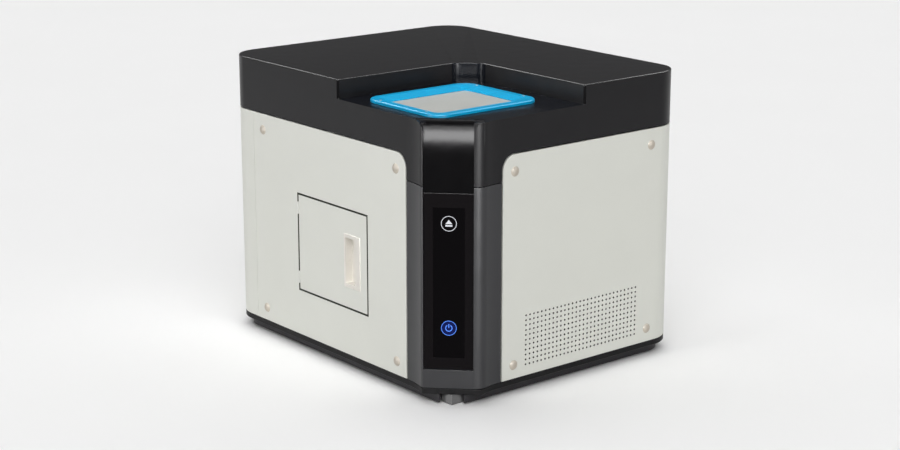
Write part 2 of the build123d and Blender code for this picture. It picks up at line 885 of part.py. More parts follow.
# ---------------------------------------------------------------- deck frame and shutter
def deck_frame():
    """Coloured frame round the loading opening: a rounded rim and a funnel."""
    x = (left + frame_x, left + frame_x + frame_width)
    y = (front + frame_y, front + frame_y + frame_depth)
    top = deck + frame_rise
    body = prism(rounded(x, y, frame_radius), deck, top)
    rim = [e for e in body.edges() if e.bounding_box().min.Z > top - 0.01]
    body = fillet(rim, frame_rise / 2)
    open_x, open_y = about(stage_x, opening_width), about(stage_y, opening_depth)
    skirt_bottom = deck - deck_skin
    skirt = prism(
        rounded((open_x[0] - skirt_wall, open_x[1] + skirt_wall),
                (open_y[0] - skirt_wall, open_y[1] + skirt_wall),
                opening_radius + skirt_wall),
        skirt_bottom, deck,
    )
    mouth = rounded((x[0] + frame_rim, x[1] - frame_rim), (y[0] + frame_rim, y[1] - frame_rim),
                    frame_radius - frame_rim)
    throat = rounded(open_x, open_y, opening_radius)
    funnel = loft([Pos(0, 0, deck) * throat, Pos(0, 0, top) * mouth], ruled=True)
    well = prism(throat, skirt_bottom - 1.0, deck)
    body = body + skirt - funnel - well
    for x_place, y_place in frame_screw_places():
        body = body - rod((x_place, y_place, deck - 1.0), frame_screw_radius + shaft_gap,
                          2 * frame_rise)
    return body


def frame_screw_places():
    """Two screws on each short side of the frame."""
    x = (left + frame_x + frame_screw_inset, left + frame_x + frame_width - frame_screw_inset)
    y = (front + frame_y + 1.3 * frame_radius,
         front + frame_y + frame_depth - 1.3 * frame_radius)
    return [(x_place, y_place) for x_place in x for y_place in y]


def deck_frame_screws():
    """Small bright screws in the frame."""
    screws = []
    for x, y in frame_screw_places():
        screw = rod((x, y, deck), frame_screw_radius, 0.7 * frame_rise)
        screws.append(screw)
    return group(*screws)


def shutter():
    """Sliding plate that closes the loading opening."""
    x = (left + opening_x - shutter_overlap, left + opening_x + opening_width + shutter_overlap)
    y = about(stage_y, opening_depth + 2 * shutter_overlap)
    return block(x, y, (shutter_bottom, shutter_top))


def shutter_rails():
    """Two stepped rails under the deck that carry the shutter."""
    start = left + opening_x - shutter_overlap - 6.0
    travel = opening_width + shutter_overlap + 2.0
    end = left + opening_x + opening_width + shutter_overlap + travel + 6.0
    behind_wall = left + recess_x + recess_bevel + 2 * wall
    rails = []
    half = opening_depth / 2 + shutter_overlap
    lip_top = shutter_bottom - run_gap
    for sign in (-1, 1):
        web = tuple(sorted((stage_y + sign * (half + run_gap),
                            stage_y + sign * (half + run_gap + rail_web))))
        lip = tuple(sorted((stage_y + sign * (half - rail_lip),
                            stage_y + sign * (half + run_gap + rail_web))))
        rail = block((start, end), web, (lip_top - rail_lip_thickness, deck - wall))
        rail = rail + block((start, end), lip, (lip_top - rail_lip_thickness, lip_top))
        hook_top = shutter_top + run_gap + deck_skin
        rail = rail + block((behind_wall, end), web, (deck - wall, hook_top))
        rail = rail + block((behind_wall, end), lip, (shutter_top + run_gap, hook_top))
        rails.append(rail)
    return group(*rails)


def roller_place():
    """Axis of the shutter's drive roller."""
    x = left + opening_x + opening_width + shutter_overlap / 2 + 1.0
    z = shutter_bottom - shaft_gap - roller_radius
    return x, z


def shutter_roller():
    """Rubber drive roller on its shaft."""
    x, z = roller_place()
    roller = rod((x, stage_y - roller_width / 2, z), roller_radius, roller_width, "Y")
    rail_outside = stage_y + opening_depth / 2 + shutter_overlap + run_gap + rail_web
    reach = rail_outside + 8.0 - stage_y
    shaft = rod((x, stage_y, z), shaft_radius, reach, "Y")
    return roller + shaft


def shutter_motor():
    """Small gear motor that turns the roller, hung from the rear rail."""
    x, z = roller_place()
    rail_outside = stage_y + opening_depth / 2 + shutter_overlap + run_gap + rail_web
    start = rail_outside + 4.0
    case = rod((x, start, z), motor_radius, motor_length, "Y")
    plate = block(about(x, 2 * motor_radius), (rail_outside, start),
                  (z - motor_radius, deck - wall))
    bore = rod((x, rail_outside - 1.0, z), shaft_radius + shaft_gap, 4.0 + 6.0, "Y")
    return case + plate - bore


# ---------------------------------------------------------------- side door
def hinge_axis():
    """The door's upright axis, in the gap at its rear edge and flush with the panel."""
    return left, front + door_y + door_width


def side_door():
    """Door skin with a folded rim, cut out for the pull."""
    y = (front + door_y + door_gap / 2, front + door_y + door_width - door_gap / 2)
    z = (door_z + door_gap / 2, door_z + door_height - door_gap / 2)
    skin = block((left, left + wall), y, z)
    rim = block((left + wall, left + wall + door_rim), y, z)
    inner_y = (y[0] + door_rim_wall, y[1] - door_rim_wall)
    inner_z = (z[0] + door_rim_wall, z[1] - door_rim_wall)
    rim = rim - block((left, left + far), inner_y, inner_z)
    body = pull_body_span()
    return skin + rim - block((left - 1.0, left + 2 * wall), body[0], body[1])


def pull_body_span():
    """Cut-out of the pull's body in the door."""
    margin = 2.0
    y = (front + pull_y + margin, front + pull_y + pull_width - margin)
    z = (pull_z + margin, pull_z + pull_height - margin)
    return y, z


def door_pull():
    """Moulded cup with a lip that the fingers hook from behind."""
    y = (front + pull_y, front + pull_y + pull_width)
    z = (pull_z, pull_z + pull_height)
    flange = block((left - pull_proud, left), y, z)
    flange = chamfer(flange.faces().sort_by(Axis.X)[0].edges(), 0.5 * pull_proud)
    body_y, body_z = pull_body_span()
    body = block((left, left + pull_depth), (body_y[0] + fit_gap / 2, body_y[1] - fit_gap / 2),
                 (body_z[0] + fit_gap / 2, body_z[1] - fit_gap / 2))
    mouth = block(
        (left - 2 * pull_proud, left + pull_depth - pull_wall),
        (y[0] + pull_grip, y[1] - pull_wall - 2.4),
        (z[0] + cup_top_margin, z[1] - cup_top_margin),
    )
    behind_lip = block(
        (left + pull_wall, left + pull_depth - pull_wall),
        (body_y[0] + pull_wall, y[1] - pull_wall - 2.4),
        (z[0] + cup_top_margin, z[1] - cup_top_margin),
    )
    return flange + body - mouth - behind_lip


def hinge_pieces(moving):
    """Knuckles with their leaf strips; the fixed outer two also keep the pin."""
    x, y = hinge_axis()
    third = hinge_length / 3
    pieces = []
    for middle in hinge_heights:
        start = middle - hinge_length / 2
        turns = (1,) if moving else (0, 2)
        for turn in turns:
            low = start + turn * third + knuckle_gap / 2
            high = start + (turn + 1) * third - knuckle_gap / 2
            barrel = rod((x, y, low), hinge_radius, high - low)
            side = -1 if moving else 1
            strip_y = tuple(sorted((y + side * door_gap / 2,
                                    y + side * (door_gap / 2 - hinge_leaf))))
            strip = block((x, x + hinge_leaf_reach), strip_y, (low, high))
            bore = rod((x, y, low - 1.0), hinge_pin_radius + shaft_gap, high - low + 2.0)
            pieces.append(barrel + strip - bore)
        if not moving:
            pieces.append(rod((x, y, start), hinge_pin_radius, hinge_length))
    return group(*pieces)


def bay_limits():
    """Inner space of the bottle bay."""
    x = (left + wall + fit_gap, left + wall + bay_depth)
    y = (front + door_y - door_gap / 2, front + door_y + door_width + door_gap / 2)
    z = (door_z - door_gap / 2, door_z + door_height + door_gap / 2)
    return x, y, z


def bottle_bay():
    """Moulded liner behind the door, open towards it, with rings that locate the bottles."""
    x, y, z = bay_limits()
    liner = block(
        (x[0], x[1] + bay_wall),
        (y[0] - bay_wall, y[1] + bay_wall),
        (z[0] - bay_wall, z[1] + bay_wall),
    )
    liner = liner - block((x[0] - 1.0, x[1]), y, z)
    ring_height = 4.0
    for place in bottle_places_y:
        centre = (left + bottle_x, front + place, z[0])
        ring = rod(centre, bottle_radius + 2.5, ring_height)
        ring = ring - rod(centre, bottle_radius + 2 * fit_gap, ring_height)
        liner = liner + ring
    return liner


def door_magnet():
    """Magnet block that holds the door shut."""
    _, y, z = bay_limits()
    middle = sum(z) / 2
    start = left + wall + door_rim + fit_gap
    return block((start, start + 6.0), (y[0], y[0] + 10.0), about(middle, 20.0))


# ---------------------------------------------------------------- bottles
def bottle(y):
    """Blow-moulded bottle with a shoulder and a neck."""
    z = bay_limits()[2][0]
    bend = bottle_radius - bottle_neck

    def profile(inset):
        radius, neck = bottle_radius - inset, bottle_neck - inset
        shoulder = 0.7 * bottle_height - inset
        return make_face([
            Line((0, inset), (radius, inset)),
            Line((radius, inset), (radius, shoulder)),
            CenterArc((neck, shoulder), bend, 0.0, 90.0),
            Line((neck, shoulder + bend), (neck, bottle_height)),
            Line((neck, bottle_height), (0, bottle_height)),
            Line((0, bottle_height), (0, inset)),
        ])

    outer = revolve(Plane.XZ * profile(0.0), Axis.Z)
    inner = revolve(Plane.XZ * profile(bottle_wall), Axis.Z)
    return Pos(left + bottle_x, front + y, z) * (outer - inner)


def bottle_caps():
    """Ribbed caps with a tube fitting."""
    z = bay_limits()[2][0] + bottle_height
    caps = []
    for y in bottle_places_y:
        centre = (left + bottle_x, front + y)
        cap = rod((*centre, z - 0.6 * cap_height), cap_radius, cap_height)
        inside = rod((*centre, z - 0.6 * cap_height), bottle_neck + fit_gap / 2, 0.6 * cap_height)
        cap = cap - inside
        cap = cap + rod((*centre, z), 3.0, 0.8 * cap_height)
        caps.append(cap)
    return group(*caps)


# ---------------------------------------------------------------- plate stage
def stage_table():
    """Shelf that carries the plate stage, on posts from the tray."""
    inset = wall + upright_inset + upright_depth
    x = (left + inset, left + table_x)
    y = (front + inset, front + table_y)
    points = [
        (left + table_corner_cut, y[0]), (x[1], y[0]), (x[1], y[1]),
        (x[0], y[1]), (x[0], front + table_corner_cut),
    ]
    plate = prism(make_face(Polyline(*points, close=True)), table_floor, table_top)
    post_inset = 1.5 * post_radius
    for place_y in (y[0] + post_inset, y[1] - post_inset):
        plate = plate + rod((x[1] - post_inset, place_y, tray_inside), post_radius,
                            table_floor - tray_inside)
    return plate


def along(axis, lengthwise, across, z):
    """Box given by its spans along and across a stage axis."""
    return block(lengthwise, across, z) if axis == "X" else block(across, lengthwise, z)


def stage_guides(axis, ends, middle, span, foot):
    """Two guide rails and the two supports of the drive screw."""
    pieces = [
        along(axis, ends, about(middle + sign * span / 2, guide_width), (foot, foot + guide_height))
        for sign in (-1, 1)
    ]
    for place in support_places(ends):
        support = along(axis, about(place, screw_support), about(middle, bearing_size),
                        (foot, foot + stage_lift - 2 * run_gap))
        start = place - screw_support
        centre = (start, middle) if axis == "X" else (middle, start)
        bore = rod((*centre, foot + stage_lift / 2), screw_radius + shaft_gap,
                   2 * screw_support, axis)
        pieces.append(support - bore)
    return pieces


def support_places(ends):
    """Middles of a screw's two supports."""
    return ends[0] + screw_support / 2, ends[1] - screw_support / 2


def drive_screw(axis, ends, middle, foot, motor_end):
    """Screw of a stage axis, with its coupling end towards the motor."""
    centre = (ends[0], middle) if axis == "X" else (middle, ends[0])
    screw = rod((*centre, foot + stage_lift / 2), screw_radius, ends[1] - ends[0], axis)
    start = ends[0] - screw_support if motor_end < 0 else ends[1]
    centre = (start, middle) if axis == "X" else (middle, start)
    return screw + rod((*centre, foot + stage_lift / 2), shaft_radius, screw_support, axis)


def gear_motor(axis, start, middle, z, shaft_at_start):
    """Round gear motor with a flat foot and a bore for the screw's end."""
    centre = (start, middle) if axis == "X" else (middle, start)
    case = rod((*centre, z), stage_motor_radius, stage_motor_length, axis)
    foot = along(axis, (start, start + stage_motor_length), about(middle, stage_motor_radius),
                 (z - stage_lift / 2, z))
    depth = screw_support + 1.0
    bore_start = start - 1.0 if shaft_at_start else start + stage_motor_length - depth
    centre = (bore_start, middle) if axis == "X" else (middle, bore_start)
    return case + foot - rod((*centre, z), shaft_radius + shaft_gap, depth + 1.0, axis)


def bearings(axis, places, middle, span, foot):
    """Blocks under a moving plate that run along two guides."""
    blocks = []
    for sign in (-1, 1):
        across = middle + sign * span / 2
        for place in places:
            body = along(axis, about(place, bearing_size), about(across, bearing_size),
                         (foot + run_gap, foot + stage_lift))
            slot = along(axis, about(place, 2 * bearing_size),
                         about(across, guide_width + 2 * run_gap),
                         (foot - 1.0, foot + guide_height + run_gap))
            blocks.append(body - slot)
    return blocks


def nut(axis, place, middle, foot):
    """Nut block of a drive screw, under a moving plate."""
    body = along(axis, about(place, bearing_size), about(middle, 4 * screw_radius),
                 (foot + run_gap, foot + stage_lift))
    start = place - bearing_size
    centre = (start, middle) if axis == "X" else (middle, start)
    return body - rod((*centre, foot + stage_lift / 2), screw_radius + shaft_gap,
                      2 * bearing_size, axis)


def y_ends():
    """Ends of the Y guides, clear of the probe column."""
    return front + guide_start, front + probe_column_y - run_gap


def x_ends():
    """Ends of the X guides on the Y carriage, for the nest's travel and the bearings."""
    reach = bearing_spread + bearing_size / 2 + nest_run_out
    return stage_x - nest_reach_left - reach - motor_room, stage_x + nest_reach_right + reach


def stage_y_guides():
    """Guides and screw supports on the table."""
    return group(*stage_guides("Y", y_ends(), stage_x, guide_span, table_top))


def stage_y_screw():
    """Drive screw that moves the Y carriage."""
    return drive_screw("Y", y_ends(), stage_x, table_top, -1)


def stage_y_motor():
    """Gear motor at the front end of the Y screw."""
    start = y_ends()[0] - run_gap - stage_motor_length
    return gear_motor("Y", start, stage_x, table_top + stage_lift / 2, False)


def y_carriage():
    """Plate on four bearings that moves front to back."""
    y = about(stage_y, carriage_depth)
    body = block((left + carriage_x[0], left + carriage_x[1]), y, (carriage_bottom, carriage_top))
    places = [stage_y - bearing_spread / 2, stage_y + bearing_spread / 2]
    for piece in bearings("Y", places, stage_x, guide_span, table_top):
        body = body + piece
    return body + nut("Y", stage_y, stage_x, table_top)


def stage_x_guides():
    """Guides and screw supports on the Y carriage."""
    return group(*stage_guides("X", x_ends(), stage_y, cross_span, carriage_top))


def stage_x_screw():
    """Drive screw that moves the plate nest sideways."""
    return drive_screw("X", x_ends(), stage_y, carriage_top, 1)


def stage_x_motor():
    """Gear motor at the right end of the X screw."""
    start = x_ends()[1] + run_gap
    return gear_motor("X", start, stage_y, carriage_top + stage_lift / 2, True)


def plate_nest():
    """Nest for one microplate, on four posts over the X bearings."""
    plate = block(about(stage_x, nest_width), about(stage_y, carriage_depth),
                  (cross_bottom, cross_bottom + nest_thickness))
    places = [stage_x - bearing_spread, stage_x + bearing_spread]
    for piece in bearings("X", places, stage_y, cross_span, carriage_top):
        plate = plate + piece
    plate = plate + nut("X", stage_x, stage_y, carriage_top)
    nest_bottom = nest_floor - nest_thickness
    for sign_x in (-1, 1):
        for sign_y in (-1, 1):
            place = (stage_x + sign_x * 0.4 * nest_width, stage_y + sign_y * 0.3 * nest_depth,
                     cross_bottom)
            plate = plate + rod(place, nest_post_radius, nest_bottom - cross_bottom)
    tray = prism(rounded(about(stage_x, nest_width), about(stage_y, nest_depth), 4.0),
                 nest_bottom, nest_floor + nest_rim)
    pocket = block(about(stage_x, plate_width + 2 * plate_gap),
                   about(stage_y, plate_depth + 2 * plate_gap), (nest_floor, far))
    window = block(about(stage_x, 0.8 * plate_width), about(stage_y, 0.75 * plate_depth),
                   (nest_bottom - 1.0, far))
    return plate + (tray - pocket - window)


# ---------------------------------------------------------------- sample probe
def probe_column():
    """Upright behind the stage with the probe's guide."""
    x = about(left + probe_x, probe_column_width)
    y = (front + probe_column_y, front + probe_column_y + probe_column_depth)
    column = block(x, y, (table_top, probe_column_top))
    guide = block(about(left + probe_x, guide_width), (y[0] - guide_height / 2, y[0]),
                  (probe_guide_bottom, probe_column_top))
    return column + guide


def probe_slide():
    """Block on the probe's guide with the arm over the plate."""
    face = front + probe_column_y - run_gap
    z = (arm_bottom + arm_height - probe_slide_height, arm_bottom + arm_height)
    body = block(about(left + probe_x, 2 * arm_width), (face - probe_slide_depth, face), z)
    slot = block(about(left + probe_x, guide_width + 2 * run_gap),
                 (face + run_gap - guide_height / 2 - run_gap, face + 1.0), (0, far))
    arm = block(about(left + probe_x, arm_width),
                (front + probe_y - arm_width / 2, face - probe_slide_depth / 2),
                (arm_bottom, arm_bottom + arm_height))
    arm_end = [e for e in arm.edges().filter_by(Axis.Z) if e.center().Y < front + probe_y]
    arm = fillet(arm_end, arm_width / 2 - 0.5)
    bore = rod((left + probe_x, front + probe_y, arm_bottom - 1.0), needle_radius,
               arm_height + 2.0)
    return body + arm - slot - bore


def probe_needle():
    """Steel sampling needle with its collar."""
    x, y = left + probe_x, front + probe_y
    needle = rod((x, y, needle_tip), needle_radius, arm_bottom + arm_height + 4.0 - needle_tip)
    return needle + rod((x, y, arm_bottom + arm_height), 3 * needle_radius, 4.0)


# ---------------------------------------------------------------- optics
def optical_bench():
    """Thick plate that carries the optics."""
    x = (left + bench_x[0], left + bench_x[1])
    y = (front + bench_y[0], front + bench_y[1])
    return prism(rounded(x, y, 8.0), bench_bottom, bench_top)


def bench_isolators():
    """Rubber mounts between the tray and the bench."""
    mounts = []
    for x in (bench_x[0] + isolator_inset, bench_x[1] - isolator_inset):
        for y in (bench_y[0] + isolator_inset, bench_y[1] - isolator_inset):
            height = (bench_bottom - tray_inside) / 2
            lower = rod((left + x, front + y, tray_inside), isolator_radius, height)
            upper = rod((left + x, front + y, tray_inside + height), 0.8 * isolator_radius, height)
            mounts.append(lower + upper)
    return group(*mounts)


def laser_modules():
    """Three laser heads with cooling fins and a short exit tube."""
    heads = []
    x = (beam_x + laser_gap, beam_x + laser_gap + laser_length)
    for place in laser_places_y:
        y = front + place
        head = block(x, about(y, laser_width), (bench_top, bench_top + laser_height))
        pitch = laser_width / (fin_count - 1)
        for step in range(fin_count):
            fin = block((x[0] + 10.0, x[1]),
                        about(y - laser_width / 2 + 0.8 + step * (laser_width - 1.6) / (fin_count - 1),
                              0.2 * pitch),
                        (bench_top + laser_height, bench_top + laser_height + fin_height))
            head = head + fin
        head = head + rod((x[0] - 8.0, y, beam_z), 4.0, 8.0, "X")
        heads.append(head)
    return group(*heads)


def beam_mirrors():
    """Angled mirrors on posts that join the beams."""
    mirrors = []
    for place in laser_places_y:
        y = front + place
        mirror = block(about(0.0, mirror_thickness), about(0.0, mirror_size),
                       about(0.0, mirror_size))
        mirror = Pos(beam_x, y, beam_z) * Rot(0, 0, 45) * mirror
        post = rod((beam_x, y, bench_top), mirror_post_radius, beam_height - mirror_size / 2)
        mirrors.append(mirror + post)
    return group(*mirrors)


def flow_cell_block():
    """Holder of the flow cell, with a light path through it and a nozzle on top."""
    y = front + cell_y
    body = block(about(beam_x, cell_block), about(y, cell_block),
                 (bench_top, beam_z + cell_height / 2))
    body = body - block(about(beam_x, cell_size + 0.1), about(y, cell_size + 0.1),
                        (beam_z - cell_height / 2, far))
    body = body - rod((beam_x - cell_block, y, beam_z), 0.4 * cell_block, 2 * cell_block, "X")
    body = body - rod((beam_x, y - cell_block, beam_z), 0.4 * cell_block, 2 * cell_block, "Y")
    return body


def flow_cell():
    """Square glass cell with its fine channel."""
    y = front + cell_y
    cell = block(about(beam_x, cell_size), about(y, cell_size), about(beam_z, cell_height))
    nozzle = rod((beam_x, y, beam_z + cell_height / 2), 0.45 * cell_size, 8.0)
    return cell + nozzle


def objective():
    """Stepped lens barrel beside the flow cell, in a ring mount."""
    y = front + cell_y
    start = beam_x + cell_block / 2 + objective_gap
    barrel = rod((start, y, beam_z), 0.7 * objective_radius, 0.3 * objective_length, "X")
    barrel = barrel + rod((start + 0.3 * objective_length, y, beam_z), objective_radius,
                          0.7 * objective_length, "X")
    mount = block((start + 0.5 * objective_length, start + 0.9 * objective_length),
                  about(y, 2.4 * objective_radius), (bench_top, beam_z))
    return barrel + mount


def filter_cube():
    """Filter block with a side port between the objective and the camera."""
    start = cube_start()
    y = front + cell_y
    cube = block((start, start + cube_size), about(y, cube_size),
                 (bench_top, beam_z + cube_size / 2))
    port = rod((start + cube_size / 2, y - cube_size / 2 - 10.0, beam_z), 0.35 * cube_size,
               10.0, "Y")
    return cube + port


def cube_start():
    """Front face of the filter cube along X."""
    return beam_x + cell_block / 2 + objective_gap + objective_length


def detector_camera():
    """Detector camera at the end of the detection path."""
    start = cube_start() + cube_size
    y = front + cell_y
    neck = rod((start, y, beam_z), 0.3 * camera_size, 6.0, "X")
    case = block((start + 6.0, start + camera_length), about(y, camera_size),
                 (bench_top, beam_z + camera_size / 2))
    return neck + case


# ---------------------------------------------------------------- fluidics
def pump_spans():
    """Outer spans of the syringe pump's body."""
    return (
        (left + pump_x, left + pump_x + pump_width),
        (front + pump_y, front + pump_y + pump_depth),
        (tray_inside, tray_inside + pump_height),
    )


def pump_axis():
    """Middle of the pump across, its screw and its barrel positions."""
    x, y, _ = pump_spans()
    return sum(x) / 2, (y[0] + y[1]) / 2, y[0] - barrel_ahead


def syringe_pump_body():
    """Pump housing with a drive slot, and arms that hold the barrel."""
    x, y, z = pump_spans()
    middle, screw_y, barrel_y = pump_axis()
    body = block(x, y, z)
    slot = block((x[0] + pump_wall, x[1] - pump_wall), (y[0] - 1.0, y[1] - pump_wall),
                 (z[0] + pump_wall, z[0] + pump_slot_top + pump_wall))
    body = body - slot
    body = body - rod((middle, screw_y, z[0] + pump_wall / 2), screw_radius + shaft_gap,
                      pump_slot_top + 1.5 * pump_wall)
    top = z[0] + barrel_bottom + barrel_length
    head = block(about(middle, valve_head), (barrel_y - valve_head / 2, y[0]),
                 (top, top + valve_head / 2))
    return body + head


def syringe_pump_screw():
    """Upright drive screw in the pump's slot."""
    middle, screw_y, _ = pump_axis()
    bottom = tray_inside + pump_wall / 2
    return rod((middle, screw_y, bottom + run_gap), screw_radius,
               pump_slot_top + 1.5 * pump_wall - 2 * run_gap)


def syringe_barrel():
    """Glass barrel that hangs from the pump's head."""
    middle, _, barrel_y = pump_axis()
    start = (middle, barrel_y, tray_inside + barrel_bottom)
    barrel = rod(start, barrel_radius, barrel_length)
    return barrel - rod(start, barrel_bore, barrel_length)


def syringe_plunger():
    """Plunger rod and piston on the nut block that the screw lifts."""
    middle, screw_y, barrel_y = pump_axis()
    x, y, z = pump_spans()
    bottom = z[0] + plunger_rest
    side = pump_wall + run_gap
    body = block((x[0] + side, x[1] - side), (barrel_y - barrel_radius, y[1] - side),
                 (bottom, bottom + plunger_block_height))
    body = body - rod((middle, screw_y, bottom - 1.0), screw_radius + shaft_gap,
                      plunger_block_height + 2.0)
    piston_bottom = z[0] + barrel_bottom + 4.0
    shaft = rod((middle, barrel_y, bottom + plunger_block_height), 2.0,
                piston_bottom - bottom - plunger_block_height)
    piston = rod((middle, barrel_y, piston_bottom), barrel_bore - piston_gap, piston_length)
    return body + shaft + piston


def valve_manifold():
    """Manifold on the back of the bottle bay with a row of valves."""
    x = bay_limits()[0][1] + bay_wall
    middle = sum(bay_limits()[1]) / 2
    length = valve_count * valve_pitch
    body = block((x, x + manifold_depth), about(middle, length),
                 (manifold_z, manifold_z + manifold_height))
    for step in range(valve_count):
        y = middle + (step - (valve_count - 1) / 2) * valve_pitch
        body = body + rod((x + manifold_depth / 2, y, manifold_z + manifold_height),
                          valve_radius, valve_height)
    return body


# ---------------------------------------------------------------- electrics and rear ports
def main_board():
    """Control board beside the right panel, on spacers from the uprights."""
    inner = right - wall - upright_inset - upright_depth
    x = (inner - board_spacer - board_thickness, inner - board_spacer)
    y = (front + side_fastener_y[0] - upright_width / 2,
         front + side_fastener_y[1] + upright_width / 2)
    board = block(x, y, board_z)
    for place_y in side_fastener_y:
        for z in (board_z[0] + 10.0, board_z[1] - 10.0):
            board = board + rod((x[1], front + place_y + upright_width / 2 - upright_wall / 2, z),
                                upright_wall / 2, board_spacer, "X")
    chip = 24.0
    for step in range(4):
        place = y[0] + 60.0 + step * 70.0
        board = board + block((x[0] - 3.0, x[0]), about(place, chip),
                              about(sum(board_z) / 2, chip))
    return board


def power_supply():
    """Power supply box on the tray behind the air intake."""
    x = (left + supply_x, right - supply_side_gap)
    y = (front + supply_y, front + supply_y + supply_depth)
    z = (tray_inside, tray_inside + supply_height)
    box = block(x, y, z)
    slots = int((x[1] - x[0]) // 12.0)
    for step in range(slots):
        place = x[0] + 8.0 + step * 12.0
        box = box - block(about(place, 4.0), (y[0] + 10.0, y[1] - 10.0), (z[1] - 3.0, z[1] + 1.0))
    return box


def fan_spans():
    """Outer spans of the exhaust fan."""
    return (
        about(left + fan_x, fan_size),
        (rear - wall - fan_depth, rear - wall),
        about(fan_z, fan_size),
    )


def fan_frame():
    """Square fan frame with the motor cross at its inner side."""
    x, y, z = fan_spans()
    bore = fan_size / 2 - 3.0
    frame = block(x, y, z)
    frame = frame - rod((left + fan_x, y[0] - 1.0, fan_z), bore, fan_depth + 2.0, "Y")
    hub = rod((left + fan_x, y[0], fan_z), fan_hub, 4.0, "Y")
    for turn in (45.0, 135.0):
        arm = Rot(0, turn, 0) * block(about(0, 2 * bore + 2.0), (0.0, 4.0), about(0, 5.0))
        hub = hub + Pos(left + fan_x, y[0], fan_z) * arm
    hub = hub + rod((left + fan_x, y[0], fan_z), shaft_radius, fan_depth - 8.0, "Y")
    edges = frame.edges().filter_by(Axis.Y)
    outer = [e for e in edges if e.length > fan_depth - 0.1 and abs(e.center().X - x[0]) < 0.1]
    outer += [e for e in edges if e.length > fan_depth - 0.1 and abs(e.center().X - x[1]) < 0.1]
    return fillet(outer, 4.0) + hub


def fan_rotor():
    """Hub with pitched blades that spins on the frame's stub."""
    _, y, _ = fan_spans()
    start = y[0] + 5.0
    depth = fan_depth - 8.0
    hub = rod((0, 0, 0), fan_hub, depth, "Y")
    tip = fan_size / 2 - 5.0
    for step in range(fan_blades):
        blade = block((fan_hub - 2.0, tip), about(depth / 2, depth - 3.0), about(0, 2.0))
        blade = Pos(0, depth / 2, 0) * Rot(32.0, 0, 0) * Pos(0, -depth / 2, 0) * blade
        hub = hub + Rot(0, step * 360.0 / fan_blades, 0) * blade
    limits = rod((0, 0, 0), tip, depth, "Y")
    rotor = (hub & limits) - rod((0, -1.0, 0), shaft_radius + shaft_gap, depth - 3.0, "Y")
    return Pos(left + fan_x, start, fan_z) * rotor


def port_body(x, width, height, depth):
    """Flanged insert in one of the rear openings."""
    flange = block(about(left + x, width + 2 * flange_margin), (rear, rear + flange_thickness),
                   about(port_z, height + 2 * flange_margin))
    body = block(about(left + x, width), (rear - depth, rear), about(port_z, height))
    return flange + body


def power_inlet():
    """Mains inlet with three blades in its socket."""
    body = port_body(inlet_x, inlet_width, inlet_height, inlet_depth)
    socket = block(about(left + inlet_x, inlet_width - 4.0),
                   (rear - inlet_depth + 6.0, rear + wall),
                   about(port_z, inlet_height - 4.0))
    body = body - socket
    for x, z in ((-7.0, -2.0), (0.0, 3.0), (7.0, -2.0)):
        blade = block(about(left + inlet_x + x, 2.0),
                      (rear - inlet_depth + 6.0, rear - 4.0), about(port_z + z, 4.0))
        body = body + blade
    return body


def switch_pins(gap, reach):
    """Cross pins of the rocker on its tilt axis."""
    length = switch_width - 2 * switch_wall + 2 * reach
    start = (left + switch_x - length / 2, rear - rocker_pivot, port_z)
    return rod(start, rocker_trunnion + gap, length, "X")


def switch_frame():
    """Frame of the mains switch, open for the rocker and drilled for its pins."""
    body = port_body(switch_x, switch_width, switch_height, 18.0)
    well = block(about(left + switch_x, switch_width - 2 * switch_wall),
                 (rear - 15.0, rear + wall),
                 about(port_z, switch_height - 2 * switch_wall))
    return body - well - switch_pins(shaft_gap, switch_wall)


def switch_rocker():
    """Rocker that tilts on its pins in the switch frame, with room for its swing."""
    width = switch_width - 2 * switch_wall - 2 * run_gap
    swing = (rocker_pivot + rocker_proud) * math.sin(math.radians(rocker_tilt))
    height = switch_height - 2 * switch_wall - 2 * swing - run_gap
    back = -2 * rocker_pivot
    profile = make_face([
        Line((-height / 2, rocker_proud), (-height / 2 + 2.0, back)),
        Line((-height / 2 + 2.0, back), (height / 2 - 2.0, back)),
        Line((height / 2 - 2.0, back), (height / 2, rocker_proud)),
        ThreePointArc((height / 2, rocker_proud), (0.0, 0.6), (-height / 2, rocker_proud)),
    ])
    turned = Plane(origin=(left + switch_x, rear, port_z), x_dir=(0, 0, 1), z_dir=(-1, 0, 0))
    rocker = extrude(turned * profile, amount=width / 2, both=True)
    return rocker + switch_pins(0.0, switch_wall - run_gap)


def data_ports():
    """Block of data sockets."""
    width = 2 * inlet_width
    body = port_body(data_x, width, inlet_height, 18.0)
    for step, (size_x, size_z) in enumerate(((13.5, 6.0), (13.5, 6.0), (15.0, 12.0))):
        place = left + data_x - width / 2 + 10.0 + step * 18.0
        body = body - block(about(place, size_x), (rear - 12.0, rear + wall),
                            about(port_z, size_z))
    return body


def fluid_couplings():
    """Three hose couplings of the external fluid lines."""
    pieces = []
    for place in coupling_places():
        body = rod((place, rear - 12.0, port_z), coupling_radius, 12.0 + coupling_reach - 2.0, "Y")
        body = body + rod((place, rear, port_z), 1.3 * coupling_radius, 2.0, "Y")
        body = body + rod((place, rear, port_z), 0.6 * coupling_radius, coupling_reach, "Y")
        body = body - rod((place, rear - 13.0, port_z), 0.3 * coupling_radius, 30.0, "Y")
        pieces.append(body)
    return group(*pieces)


